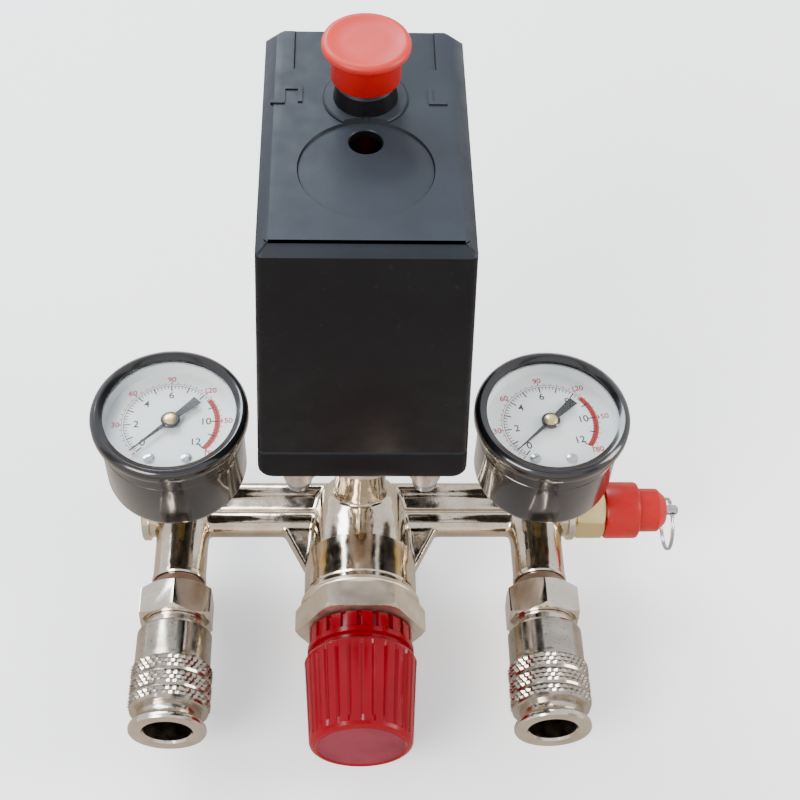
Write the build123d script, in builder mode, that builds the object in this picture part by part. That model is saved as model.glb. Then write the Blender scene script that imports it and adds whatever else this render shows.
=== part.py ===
"""Air-compressor pressure switch on its die-cast manifold, with regulator, gauges and couplers.

Frame: +Z up, -Y towards the regulator knob, +X towards the safety valve.  The origin is the
centre of the tank inlet's mouth.  All sizes are in millimetres and all angles in degrees.
"""
import os
from math import atan, degrees, tan, radians

from build123d import *

# ---------------------------------------------------------------- driving dimensions
# Manifold casting
axis_height = 24.0
bar_half_length = 64.2
bar_radius = 8.6
bar_half_thickness = 4.6
bar_flat_end = 56.0
trough_front_y = -1.7
trough_rear_y = 3.8
trough_depth = 0.4
bar_ring_radius = 9.0
bar_ring_width = 2.4
passage_radius = 3.2
port_spacing = 52.2
coupler_port_reach = 25.1
coupler_port_radius = 8.0
gauge_port_height = 11.0
gauge_port_radius = 7.0
end_thread_radius = 5.0
end_thread_depth = 7.0
coupler_thread_radius = 5.6
coupler_thread_depth = 9.0
gauge_thread_radius = 4.3
gauge_thread_depth = 8.5
inlet_across_flats = 22.0
inlet_hex_height = 15.0
inlet_bore_radius = 5.75
inlet_bore_depth = 13.0
stub_radius = 7.4
stub_engagement = 8.5
web_thickness = 5.0

# Regulator, stations measured forwards from the bar's axis
bell_reach = 18.0
bell_radius = 15.0
barrel_reach = 31.6
barrel_radius = 16.1
poppet_pocket_radius = 4.4
poppet_pocket_start = 5.5
poppet_start = 11.5
poppet_head_start = 12.4
seat_start = 15.0
chamber_start = 19.0
chamber_radius = 11.5
bonnet_thread_radius = 13.8
diaphragm_start = 27.5
diaphragm_thickness = 1.5
bonnet_ring_radius = 17.0
bonnet_ring_width = 2.1
bonnet_across_flats = 32.1
bonnet_hex_length = 7.4
bonnet_neck_radius = 11.0
bonnet_neck_end = 56.0
bonnet_cavity_radius = 9.2
screw_start = 33.0
screw_thread_radius = 3.8
screw_shank_radius = 4.0
screw_drive_across_flats = 9.0
screw_drive_length = 11.5
seat_thickness = 3.5
spring_seat_start = 44.0
seat_travel = 2.8
knob_start = 41.6
knob_shoulder = 49.8
knob_end = 75.6
knob_radius = 15.75
knob_end_radius = 14.0
knob_neck_radius = 14.5
knob_flutes = 28
knob_teeth = 16

# Quick couplers, stations measured forwards from the bar's axis
coupler_hex_start = 28.8
coupler_hex_end = 38.4
coupler_across_flats = 19.8
sleeve_start = 41.2
sleeve_grip_start = 52.2
sleeve_end = 65.6
sleeve_radius = 10.5
sleeve_grip_radius = 11.5
coupler_nose_radius = 8.75
coupler_flange_radius = 10.6
coupler_flange_start = 69.1
coupler_end = 71.2
coupler_mouth_radius = 6.55
coupler_balls_count = 6
ball_radius = 1.1
ball_station = 63.0
sleeve_travel = 2.4
coupler_valve_travel = 3.1
coupler_inner_start = 30.0
coupler_seat_start = 44.0
coupler_seat_end = 47.0
coupler_valve_start = 39.2
coupler_valve_head = 40.4
coupler_valve_head_end = 43.9
coupler_valve_tip = 46.7

# Safety valve, stations measured sideways from the centre
valve_hex_end = 73.3
valve_across_flats = 14.6
valve_cap_step = 83.6
valve_cap_end = 92.2
valve_cap_radius = 8.55
valve_cap_tip_radius = 6.6
valve_tower_radius = 6.4
valve_stem_radius = 1.5
valve_stem_end = 96.4
valve_lift = 2.6
pull_ring_station = 94.5
pull_ring_radius = 7.8
pull_ring_wire = 0.6

# Gauges, heights measured from the bar's axis
gauge_spacing = 52.3
gauge_case_bottom = 22.0
gauge_case_radius = 19.75
gauge_case_top = 47.4
gauge_wall = 1.0
bezel_radius = 21.5
bezel_bottom = 46.0
bezel_top = 50.1
bezel_lip = 1.0
dial_window_radius = 18.0
glass_thickness = 1.7
dial_height = 43.3
dial_thickness = 0.8
dial_screw_spacing = 10.0
dial_screw_drop = 11.8
dial_screw_radius = 1.6
needle_height = 45.4
needle_length = 14.6
needle_tail = 10.0
needle_tail_width = 2.6
gauge_across_flats = 12.0
pinion_pitch_radius = 1.75
gear_ratio = 6
bourdon_radius = 14.6

# Pressure switch box, heights measured from its own underside
switch_clearance_height = 50.0
switch_width = 54.9
switch_depth = 82.6
switch_height = 84.4
switch_offset = 18.9
draft_angle = 2.04
tray_height = 11.5
floor_thickness = 3.0
wall = 2.4
cover_edge_chamfer = 2.8
rear_corner_chamfer = 3.5
hub_radius = 16.0
hub_depth = 12.5
lobe_spacing = 34.0
lobe_width = 8.4
lobe_depth = 7.5
bolt_radius = 2.0
disc_radius = 14.5
disc_thickness = 1.5
plunger_radius = 8.0
plunger_top = 11.6
plunger_nose_top = 13.8
lever_pivot_y = -14.0
lever_pivot_height = 18.0
lever_height = 14.0
lever_half_width = 10.3
lever_thickness = 1.4
lever_end_y = 40.0
bracket_half_width = 12.6
bracket_wall = 1.5
bracket_front_y = -17.5
bracket_rear_y = 20.0
bracket_top = 48.0
pin_radius = 1.5
cover_screw_y = 15.3
cover_screw_well_radius = 4.0
cover_screw_radius = 2.0
dish_radius = 15.5
dish_y = 5.9
dish_depth = 0.5
label_width = 34.0
label_depth = 14.6
label_y = 47.8
knob_y = 29.7
collar_radius = 7.0
collar_height = 5.6
stem_radius = 3.0
button_radius = 10.4
button_rim = 2.1
button_skirt_radius = 8.3
button_height = 17.3
button_length = 10.4
rocker_y = 46.0
rocker_height = 62.0
block_front_y = 44.0
block_rear_y = 54.0
block_half_width = 19.0
block_top = 26.0
shelf_front_y = 36.2
strip_front_y = 33.0
shelf_top = 8.8
strip_thickness = 1.2
strip_width = 6.0
strip_inner_x = 4.6
strip_outer_x = 15.0
cable_entry_x = 18.4
cable_entry_y = 29.5
cable_hole_radius = 5.4
cable_bore_radius = 3.5

# Clearances
running_gap = 0.05
free_gap = 0.3

# ---------------------------------------------------------------- planes and outlines
switch_bottom = axis_height + switch_clearance_height
cover_top = switch_bottom + switch_height
floor_top = switch_bottom + floor_thickness
bar_axis = Axis((0, 0, axis_height), (1, 0, 0))


def level(height, x=0.0, y=0.0):
    """Plane facing up at a height over the inlet's mouth."""
    return Plane(origin=(x, y, height), x_dir=(1, 0, 0), z_dir=(0, 0, 1))


def ahead(reach, x=0.0):
    """Plane facing forwards at a station in front of the bar's axis."""
    return Plane(origin=(x, -reach, axis_height), x_dir=(1, 0, 0), z_dir=(0, -1, 0))


def aside(reach):
    """Plane facing the safety valve's side at a station along the bar's axis."""
    return Plane(origin=(reach, 0, axis_height), x_dir=(0, 1, 0), z_dir=(1, 0, 0))


def facing(y, height):
    """Plane facing forwards at a depth, with its own x and height for coordinates."""
    return Plane(origin=(0, y, height), x_dir=(1, 0, 0), z_dir=(0, -1, 0))


def forward_section(x=0.0):
    """Half-section plane for what is turned about a forward axis: station, radius."""
    return Plane(origin=(x, 0, axis_height), x_dir=(0, -1, 0), z_dir=(-1, 0, 0))


def side_section():
    """Half-section plane for what is turned about the bar's axis: station, radius."""
    return Plane(origin=(0, 0, axis_height), x_dir=(1, 0, 0), z_dir=(0, -1, 0))


def upright_section(x=0.0, y=0.0):
    """Half-section plane for what is turned about an upright axis: height, radius."""
    return Plane(origin=(x, y, 0), x_dir=(0, 0, 1), z_dir=(0, 1, 0))


def forward_axis(x=0.0):
    """Axis of a coupler or of the regulator."""
    return Axis((x, 0, axis_height), (0, -1, 0))


def upright_axis(x=0.0, y=0.0):
    """Axis of what is turned about an upright line."""
    return Axis((x, y, 0), (0, 0, 1))


def turned(*steps):
    """Half outline of a turned shape from (start, end, radius[, end radius]) steps."""
    outline = [(steps[0][0], 0.0)]
    for start, end, *radii in steps:
        for point in ((start, radii[0]), (end, radii[-1])):
            if point != outline[-1]:
                outline.append(point)
    outline.append((steps[-1][1], 0.0))
    return outline


def switch_inset(height, thickness=0.0):
    """How far the drafted switch wall stands inside its underside's outline."""
    return height * tan(radians(draft_angle)) + thickness


# ---------------------------------------------------------------- manifold
hub_bottom = switch_bottom - hub_depth
stub_top = hub_bottom + stub_engagement
left_passage_end = 9.0

with BuildPart() as manifold_body:
    with BuildSketch(side_section()):
        with BuildLine():
            ring_start = bar_half_length - bar_ring_width
            Polyline(
                *turned(
                    (-bar_half_length, -ring_start, bar_ring_radius),
                    (-ring_start, ring_start, bar_radius),
                    (ring_start, bar_half_length, bar_ring_radius),
                ),
                close=True,
            )
        make_face()
    revolve(axis=bar_axis)
    # The bar is flattened above and below, with a shallow trough between its two rails
    for side in (-1, 1):
        with Locations(level(axis_height + side * (bar_half_thickness + bar_radius))):
            Box(2 * bar_flat_end, 3 * bar_radius, 2 * bar_radius, mode=Mode.SUBTRACT)
        trough_height = axis_height + side * (bar_half_thickness - trough_depth + bar_radius)
        with Locations(level(trough_height, 0, (trough_front_y + trough_rear_y) / 2)):
            Box(
                2 * bar_flat_end, trough_rear_y - trough_front_y, 2 * bar_radius, mode=Mode.SUBTRACT
            )
    with BuildSketch(forward_section()):
        with BuildLine():
            Polyline(
                *turned(
                    (-bar_radius - 1.5, 0, bar_radius - 1.5, bar_radius + 3.0),
                    (0, bell_reach, bar_radius + 3.0, bell_radius),
                    (bell_reach, barrel_reach, barrel_radius),
                ),
                close=True,
            )
        make_face()
    revolve(axis=forward_axis())
    with BuildSketch(level(0)):
        RegularPolygon(radius=inlet_across_flats / 2, side_count=6, major_radius=False)
    extrude(amount=inlet_hex_height)
    with BuildSketch(upright_section()):
        with BuildLine():
            Polyline(
                *turned(
                    (inlet_hex_height, axis_height, stub_radius + 2.0),
                    (axis_height, stub_top, stub_radius),
                ),
                close=True,
            )
        make_face()
    revolve(axis=upright_axis())
    for side in (-1, 1):
        with BuildSketch(level(axis_height - web_thickness / 2)):
            with BuildLine():
                Polyline(
                    (side * (stub_radius + 1), 0),
                    (side * 26, -bar_radius + 2),
                    (side * (bell_radius + 1.5), -bell_reach + 1),
                    (side * (stub_radius + 1), -bell_reach + 2),
                    close=True,
                )
            make_face()
        extrude(amount=web_thickness)
        with Locations(ahead(0, side * port_spacing)):
            Cylinder(
                coupler_port_radius, coupler_port_reach, align=(Align.CENTER, Align.CENTER, Align.MIN)
            )
        with Locations(level(axis_height, side * gauge_spacing)):
            Cylinder(
                gauge_port_radius, gauge_port_height, align=(Align.CENTER, Align.CENTER, Align.MIN)
            )
    # Tank side: inlet thread, riser to the switch and the passage to the right-hand end
    with BuildSketch(upright_section()):
        with BuildLine():
            Polyline(
                *turned(
                    (0, inlet_bore_depth, inlet_bore_radius), (inlet_bore_depth, stub_top, passage_radius)
                ),
                close=True,
            )
        make_face()
    revolve(axis=upright_axis(), mode=Mode.SUBTRACT)
    with BuildSketch(side_section()):
        with BuildLine():
            Polyline(
                *turned(
                    (0, bar_half_length - end_thread_depth, passage_radius),
                    (bar_half_length - end_thread_depth, bar_half_length, end_thread_radius),
                ),
                close=True,
            )
        make_face()
    revolve(axis=bar_axis, mode=Mode.SUBTRACT)
    # Regulated side: the passage to the left-hand end and its link to the diaphragm chamber
    with BuildSketch(side_section()):
        with BuildLine():
            Polyline(
                *turned(
                    (-bar_half_length, -bar_half_length + end_thread_depth, end_thread_radius),
                    (-bar_half_length + end_thread_depth, -left_passage_end, passage_radius),
                ),
                close=True,
            )
        make_face()
    revolve(axis=bar_axis, mode=Mode.SUBTRACT)
    with Locations(ahead(0, -left_passage_end)):
        Cylinder(
            2.0, chamber_start + 1, align=(Align.CENTER, Align.CENTER, Align.MIN), mode=Mode.SUBTRACT
        )
    # Regulator bores: feed, poppet pocket, seat, chamber and bonnet thread
    with BuildSketch(forward_section()):
        with BuildLine():
            Polyline(
                *turned(
                    (0, poppet_pocket_start, 2.4),
                    (poppet_pocket_start, seat_start, poppet_pocket_radius),
                    (seat_start, chamber_start, 2.0),
                    (chamber_start, diaphragm_start, chamber_radius),
                    (diaphragm_start, barrel_reach, bonnet_thread_radius),
                ),
                close=True,
            )
        make_face()
    revolve(axis=forward_axis(), mode=Mode.SUBTRACT)
    for side in (-1, 1):
        with BuildSketch(forward_section(side * port_spacing)):
            with BuildLine():
                Polyline(
                    *turned(
                        (0, coupler_port_reach - coupler_thread_depth, passage_radius),
                        (
                            coupler_port_reach - coupler_thread_depth,
                            coupler_port_reach,
                            coupler_thread_radius,
                        ),
                    ),
                    close=True,
                )
            make_face()
        revolve(axis=forward_axis(side * port_spacing), mode=Mode.SUBTRACT)
        with BuildSketch(upright_section(side * gauge_spacing)):
            with BuildLine():
                gauge_port_top = axis_height + gauge_port_height
                Polyline(
                    *turned(
                        (axis_height, gauge_port_top - gauge_thread_depth, 1.6),
                        (gauge_port_top - gauge_thread_depth, gauge_port_top, gauge_thread_radius),
                    ),
                    close=True,
                )
            make_face()
        revolve(axis=upright_axis(side * gauge_spacing), mode=Mode.SUBTRACT)

with BuildPart() as end_plug:
    with Locations(aside(-bar_half_length + 0.4)):
        Cylinder(
            end_thread_radius, end_thread_depth - 1, align=(Align.CENTER, Align.CENTER, Align.MIN)
        )
    with BuildSketch(aside(-bar_half_length + 0.4)):
        RegularPolygon(radius=2.5, side_count=6, major_radius=False)
    extrude(amount=4.5, mode=Mode.SUBTRACT)

# ---------------------------------------------------------------- regulator
bonnet_seat = diaphragm_start + diaphragm_thickness
bonnet_hex_start = barrel_reach + bonnet_ring_width
bonnet_hex_end = bonnet_hex_start + bonnet_hex_length
bonnet_cavity_end = bonnet_neck_end - 4.0
knob_socket_start = bonnet_neck_end + 2.0

with BuildPart() as regulator_bonnet:
    with BuildSketch(forward_section()):
        with BuildLine():
            Polyline(
                *turned(
                    (bonnet_seat, barrel_reach, bonnet_thread_radius),
                    (barrel_reach, bonnet_hex_start, bonnet_ring_radius),
                    (bonnet_hex_start, bonnet_neck_end, bonnet_neck_radius),
                ),
                close=True,
            )
        make_face()
    revolve(axis=forward_axis())
    with BuildSketch(ahead(bonnet_hex_start)):
        RegularPolygon(radius=bonnet_across_flats / 2, side_count=6, major_radius=False, rotation=30)
    extrude(amount=bonnet_hex_length)
    chamfer(
        regulator_bonnet.edges()
        .filter_by(GeomType.LINE)
        .filter_by(lambda e: abs(e.length - bonnet_across_flats / 3**0.5) < 0.01)
        .group_by(Axis.Y)[0],
        length=1.0,
        length2=0.6,
    )
    with BuildSketch(forward_section()):
        with BuildLine():
            Polyline(
                *turned(
                    (bonnet_seat, bonnet_cavity_end, bonnet_cavity_radius),
                    (bonnet_cavity_end, bonnet_neck_end, screw_shank_radius + running_gap),
                ),
                close=True,
            )
        make_face()
    revolve(axis=forward_axis(), mode=Mode.SUBTRACT)

with BuildPart() as regulator_diaphragm:
    with BuildSketch(forward_section()):
        with BuildLine():
            Polyline(
                *turned(
                    (diaphragm_start, bonnet_seat, bonnet_thread_radius - running_gap),
                    (bonnet_seat, bonnet_seat + 1.4, bonnet_cavity_radius - 0.7),
                ),
                close=True,
            )
        make_face()
    revolve(axis=forward_axis())

with BuildPart() as regulator_poppet:
    with BuildSketch(forward_section()):
        with BuildLine():
            Polyline(
                *turned(
                    (poppet_start, poppet_head_start, 1.9),
                    (poppet_head_start, seat_start - 0.1, poppet_pocket_radius - 0.6),
                    (seat_start - 0.1, diaphragm_start - 0.2, 1.0),
                ),
                close=True,
            )
        make_face()
    revolve(axis=forward_axis())

with BuildPart() as adjusting_screw:
    with BuildSketch(forward_section()):
        with BuildLine():
            Polyline(
                *turned(
                    (screw_start, bonnet_cavity_end - 2.2, screw_thread_radius),
                    (bonnet_cavity_end - 2.2, bonnet_cavity_end - 0.1, bonnet_cavity_radius - 1.5),
                    (bonnet_cavity_end - 0.1, bonnet_neck_end + 0.3, screw_shank_radius),
                ),
                close=True,
            )
        make_face()
    revolve(axis=forward_axis())
    with BuildSketch(ahead(bonnet_neck_end + 0.3)):
        RegularPolygon(radius=screw_drive_across_flats / 2, side_count=6, major_radius=False)
    extrude(amount=screw_drive_length)

with BuildPart() as spring_seat:
    with Locations(ahead(spring_seat_start)):
        Cylinder(
            bonnet_cavity_radius - 0.2, seat_thickness, align=(Align.CENTER, Align.CENTER, Align.MIN)
        )
        Cylinder(screw_thread_radius + running_gap, 4 * seat_thickness, mode=Mode.SUBTRACT)

flute_tilt = degrees(atan((knob_radius - knob_end_radius) / (knob_end - knob_shoulder)))

with BuildPart() as regulator_knob:
    with BuildSketch(forward_section()):
        with BuildLine():
            Polyline(
                *turned(
                    (knob_start, knob_start + 5.2, knob_neck_radius),
                    (knob_start + 5.2, knob_shoulder - 1.4, knob_neck_radius + 0.4),
                    (knob_shoulder - 1.4, knob_shoulder, knob_neck_radius - 0.7),
                    (knob_shoulder, knob_shoulder + 1.5, knob_radius - 0.9, knob_radius),
                    (knob_shoulder + 1.5, knob_end - 0.9, knob_radius, knob_end_radius),
                    (knob_end - 0.9, knob_end, knob_end_radius, knob_end_radius - 0.9),
                ),
                close=True,
            )
        make_face()
    revolve(axis=forward_axis())
    with Locations(ahead(knob_shoulder - 0.1)):
        with PolarLocations(knob_radius + 0.35, knob_flutes):
            with Locations(Rotation(0, -flute_tilt, 0)):
                Cylinder(
                    0.9,
                    knob_end - knob_shoulder + 1,
                    align=(Align.CENTER, Align.CENTER, Align.MIN),
                    mode=Mode.SUBTRACT,
                )
    with Locations(ahead(knob_start)):
        with PolarLocations(knob_neck_radius, knob_teeth):
            Box(1.8, 2.4, 7.0, mode=Mode.SUBTRACT)
    with BuildSketch(forward_section()):
        with BuildLine():
            Polyline(
                *turned((knob_start, knob_socket_start, bonnet_neck_radius + 1.1)),
                close=True,
            )
        make_face()
    revolve(axis=forward_axis(), mode=Mode.SUBTRACT)
    with BuildSketch(ahead(knob_socket_start)):
        RegularPolygon(
            radius=screw_drive_across_flats / 2 + running_gap, side_count=6, major_radius=False
        )
    extrude(amount=12.0, mode=Mode.SUBTRACT)

# ---------------------------------------------------------------- gauges
gauge_sides = {"left": -gauge_spacing, "right": gauge_spacing}
pinion_bottom = axis_height + 34.0
gear_thickness = 1.5
sector_radius = pinion_pitch_radius * gear_ratio
sector_offset = pinion_pitch_radius + sector_radius
arbor_radius = 0.8
gauge_pieces = {}

with BuildPart() as gauge_sockets:
    for x in gauge_sides.values():
        socket_bottom = axis_height + gauge_port_height
        plate_bottom = pinion_bottom - 2.5
        with BuildSketch(upright_section(x)):
            with BuildLine():
                Polyline(
                    *turned(
                        (socket_bottom - gauge_thread_depth + 0.5, socket_bottom, gauge_thread_radius),
                        (socket_bottom, axis_height + gauge_case_bottom + gauge_wall, 4.6),
                    ),
                    close=True,
                )
            make_face()
        revolve(axis=upright_axis(x))
        with BuildSketch(level(socket_bottom + 0.3, x)):
            RegularPolygon(radius=gauge_across_flats / 2, side_count=6, major_radius=False)
        extrude(amount=gauge_case_bottom - gauge_port_height - 1.0)
        with BuildSketch(level(axis_height + gauge_case_bottom + gauge_wall, x, -6)):
            Rectangle(8, 20)
        extrude(amount=plate_bottom - axis_height - gauge_case_bottom - gauge_wall)
        with BuildSketch(level(plate_bottom, x - sector_offset / 2, -3)):
            Rectangle(sector_offset + 6, 12)
        extrude(amount=1.5)
        with Locations(level(plate_bottom, x), level(plate_bottom, x - sector_offset)):
            Cylinder(arbor_radius + running_gap, 20, mode=Mode.SUBTRACT)

with BuildPart() as bourdon_tubes:
    for x in gauge_sides.values():
        tube_plane = Plane(
            origin=(x, 0, axis_height + 27.0), x_dir=(0.36, -0.933, 0), z_dir=(-0.933, -0.36, 0)
        )
        with BuildSketch(tube_plane):
            with Locations((bourdon_radius, 0)):
                Ellipse(0.9, 2.6)
                Ellipse(0.5, 2.2, mode=Mode.SUBTRACT)
        revolve(axis=upright_axis(x), revolution_arc=240)

with BuildPart() as gauge_glasses:
    for x in gauge_sides.values():
        with Locations(level(axis_height + gauge_case_top, x)):
            Cylinder(
                gauge_case_radius - running_gap,
                glass_thickness,
                align=(Align.CENTER, Align.CENTER, Align.MIN),
            )

with BuildPart() as dial_screws:
    for x in gauge_sides.values():
        for side in (-0.5, 0.5):
            screw_x = x + side * dial_screw_spacing
            with Locations(level(axis_height + dial_height + dial_thickness, screw_x, -dial_screw_drop)):
                Cylinder(dial_screw_radius, 0.7, align=(Align.CENTER, Align.CENTER, Align.MIN))
                Box(4.0, 0.4, 1.0, mode=Mode.SUBTRACT)
                Cylinder(0.75, 3.0, align=(Align.CENTER, Align.CENTER, Align.MAX))

for name, x in gauge_sides.items():
    with BuildPart() as gauge_case:
        with Locations(level(axis_height + gauge_case_bottom, x)):
            Cylinder(
                gauge_case_radius,
                gauge_case_top - gauge_case_bottom,
                align=(Align.CENTER, Align.CENTER, Align.MIN),
            )
        fillet(gauge_case.edges().group_by(Axis.Z)[0], 3.0)
        with Locations(level(axis_height + gauge_case_bottom + gauge_wall, x)):
            Cylinder(
                gauge_case_radius - gauge_wall,
                gauge_case_top,
                align=(Align.CENTER, Align.CENTER, Align.MIN),
                mode=Mode.SUBTRACT,
            )
            Cylinder(4.6, 10, mode=Mode.SUBTRACT)

    with BuildPart() as gauge_bezel:
        with BuildSketch(upright_section(x)):
            with BuildLine():
                Polyline(
                    *turned(
                        (axis_height + bezel_bottom, axis_height + bezel_top - 1.2, bezel_radius),
                        (
                            axis_height + bezel_top - 1.2,
                            axis_height + bezel_top,
                            bezel_radius,
                            bezel_radius - 1.2,
                        ),
                    ),
                    close=True,
                )
            make_face()
        revolve(axis=upright_axis(x))
        with BuildSketch(upright_section(x)):
            with BuildLine():
                lip_start = axis_height + bezel_top - bezel_lip
                Polyline(
                    *turned(
                        (axis_height + bezel_bottom, lip_start, gauge_case_radius),
                        (lip_start, axis_height + bezel_top, dial_window_radius, dial_window_radius + 0.6),
                    ),
                    close=True,
                )
            make_face()
        revolve(axis=upright_axis(x), mode=Mode.SUBTRACT)

    with BuildPart() as gauge_dial:
        with Locations(level(axis_height + dial_height, x)):
            Cylinder(
                gauge_case_radius - gauge_wall - running_gap,
                dial_thickness,
                align=(Align.CENTER, Align.CENTER, Align.MIN),
            )
            Cylinder(1.4, 5, mode=Mode.SUBTRACT)
        for side in (-0.5, 0.5):
            screw_x = x + side * dial_screw_spacing
            with Locations(level(axis_height + dial_height, screw_x, -dial_screw_drop)):
                Cylinder(0.8, 5, mode=Mode.SUBTRACT)

    with BuildPart() as gauge_needle:
        with BuildSketch(level(axis_height + needle_height, x)):
            Circle(2.2)
            with BuildLine(Plane.XY.rotated((0, 0, -135))):
                Polyline(
                    (needle_length, 0.12),
                    (0, 0.8),
                    (-needle_tail, needle_tail_width / 2),
                    (-needle_tail, -needle_tail_width / 2),
                    (0, -0.8),
                    (needle_length, -0.12),
                    close=True,
                )
            make_face()
        extrude(amount=0.6)
        with BuildSketch(upright_section(x)):
            with BuildLine():
                Polyline(
                    *turned(
                        (plate_bottom - 0.5, pinion_bottom, arbor_radius),
                        (pinion_bottom, pinion_bottom + gear_thickness, pinion_pitch_radius - 0.1),
                        (pinion_bottom + gear_thickness, axis_height + needle_height + 0.3, arbor_radius),
                        (axis_height + needle_height + 0.3, axis_height + needle_height + 1.4, 1.6),
                    ),
                    close=True,
                )
            make_face()
        revolve(axis=upright_axis(x))

    with BuildPart() as gauge_sector:
        with BuildSketch(level(pinion_bottom, x - sector_offset)):
            with BuildLine():
                PolarLine((0, 0), sector_radius - 0.1, angle=-50)
                PolarLine((0, 0), sector_radius - 0.1, angle=6)
                CenterArc((0, 0), sector_radius - 0.1, -50, 56)
            make_face()
            Circle(1.8)
        extrude(amount=gear_thickness)
        with BuildSketch(level(plate_bottom - 0.5, x - sector_offset)):
            Circle(arbor_radius)
        extrude(amount=pinion_bottom - plate_bottom + 3.5)

    gauge_pieces[f"gauge_{name}_case"] = gauge_case.part
    gauge_pieces[f"gauge_{name}_bezel"] = gauge_bezel.part
    gauge_pieces[f"gauge_{name}_dial"] = gauge_dial.part
    gauge_pieces[f"gauge_{name}_needle"] = gauge_needle.part
    gauge_pieces[f"gauge_{name}_sector"] = gauge_sector.part

# ---------------------------------------------------------------- quick couplers
sleeve_bore = coupler_nose_radius + running_gap
collar_end = sleeve_start + 2.2
barrel_core_radius = 7.4
lip_start = sleeve_start + 10.8
lip_end = lip_start + 4.0
nose_start = lip_end + 4.0
coupler_pieces = {}

for name, x in (("left", -port_spacing), ("right", port_spacing)):
    with BuildPart() as coupler_body:
        with BuildSketch(forward_section(x)):
            with BuildLine():
                Polyline(
                    *turned(
                        (
                            coupler_port_reach - coupler_thread_depth + 0.5,
                            coupler_port_reach,
                            coupler_thread_radius,
                        ),
                        (coupler_port_reach, coupler_hex_start, coupler_thread_radius + 1.2),
                        (coupler_hex_start, coupler_hex_end, 8.0),
                        (coupler_hex_end, sleeve_start, 8.2),
                        (sleeve_start, collar_end, coupler_nose_radius),
                        (collar_end, nose_start, barrel_core_radius),
                        (nose_start, coupler_flange_start, coupler_nose_radius),
                        (coupler_flange_start, coupler_end, coupler_flange_radius),
                    ),
                    close=True,
                )
            make_face()
        revolve(axis=forward_axis(x))
        with BuildSketch(ahead(coupler_hex_start, x)):
            RegularPolygon(radius=coupler_across_flats / 2, side_count=6, major_radius=False)
        extrude(amount=coupler_hex_end - coupler_hex_start)
        with BuildSketch(forward_section(x)):
            with BuildLine():
                Polyline(
                    *turned(
                        (coupler_port_reach - coupler_thread_depth, coupler_inner_start, 3.0),
                        (coupler_inner_start, coupler_seat_start, 5.0),
                        (coupler_seat_start, coupler_seat_end, 3.4),
                        (coupler_seat_end, coupler_end - 0.8, coupler_mouth_radius),
                        (coupler_end - 0.8, coupler_end, coupler_mouth_radius, coupler_mouth_radius + 0.8),
                    ),
                    close=True,
                )
            make_face()
        revolve(axis=forward_axis(x), mode=Mode.SUBTRACT)
        with Locations(ahead(ball_station, x)):
            with PolarLocations(coupler_nose_radius - ball_radius, coupler_balls_count):
                with Locations(Rotation(0, 90, 0)):
                    Cylinder(ball_radius + running_gap, 5, mode=Mode.SUBTRACT)

    with BuildPart() as coupler_sleeve:
        with BuildSketch(forward_section(x)):
            with BuildLine():
                Polyline(
                    *turned(
                        (sleeve_start, sleeve_start + 1, sleeve_radius - 1, sleeve_radius),
                        (sleeve_start + 1, sleeve_grip_start, sleeve_radius),
                        (sleeve_grip_start, sleeve_end - 1, sleeve_grip_radius),
                        (sleeve_end - 1, sleeve_end, sleeve_grip_radius, sleeve_grip_radius - 1),
                    ),
                    close=True,
                )
            make_face()
        revolve(axis=forward_axis(x))
        for groove in (sleeve_grip_start + 4.9, sleeve_grip_start + 9.4):
            with Locations(ahead(groove, x)):
                Cylinder(sleeve_grip_radius + 1, 0.8, mode=Mode.SUBTRACT)
                Cylinder(sleeve_grip_radius - 0.6, 0.9)
        with BuildSketch(forward_section(x)):
            with BuildLine():
                Polyline(
                    *turned(
                        (sleeve_start, lip_start, sleeve_bore),
                        (lip_start, lip_end, barrel_core_radius + running_gap),
                        (lip_end, sleeve_end, sleeve_bore),
                    ),
                    close=True,
                )
            make_face()
        revolve(axis=forward_axis(x), mode=Mode.SUBTRACT)

    with BuildPart() as coupler_valve:
        with BuildSketch(forward_section(x)):
            with BuildLine():
                Polyline(
                    *turned(
                        (coupler_valve_start, coupler_valve_head, 2.6),
                        (coupler_valve_head, coupler_valve_head_end, 4.4),
                        (coupler_valve_head_end, coupler_valve_tip, 1.6),
                    ),
                    close=True,
                )
            make_face()
        revolve(axis=forward_axis(x))

    coupler_pieces[f"coupler_{name}_body"] = coupler_body.part
    coupler_pieces[f"coupler_{name}_sleeve"] = coupler_sleeve.part
    coupler_pieces[f"coupler_{name}_valve"] = coupler_valve.part

with BuildPart() as coupler_balls:
    for x in (-port_spacing, port_spacing):
        with Locations(ahead(ball_station, x)):
            with PolarLocations(coupler_nose_radius - ball_radius, coupler_balls_count):
                Sphere(ball_radius)

# ---------------------------------------------------------------- safety valve
valve_seat = 69.0
valve_thread_start = bar_half_length - end_thread_depth + 0.5

with BuildPart() as safety_valve_body:
    with BuildSketch(side_section()):
        with BuildLine():
            Polyline(
                *turned(
                    (valve_thread_start, bar_half_length, end_thread_radius),
                    (bar_half_length, valve_hex_end, valve_across_flats / 2),
                    (valve_hex_end, valve_cap_step - 1.5, valve_tower_radius),
                ),
                close=True,
            )
        make_face()
    revolve(axis=bar_axis)
    with BuildSketch(aside(bar_half_length)):
        RegularPolygon(radius=valve_across_flats / 2, side_count=6, major_radius=False)
    extrude(amount=valve_hex_end - bar_half_length)
    with BuildSketch(side_section()):
        with BuildLine():
            Polyline(
                *turned(
                    (valve_thread_start, valve_seat, 3.0),
                    (valve_seat, valve_cap_step, valve_tower_radius - 1.2),
                ),
                close=True,
            )
        make_face()
    revolve(axis=bar_axis, mode=Mode.SUBTRACT)

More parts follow.
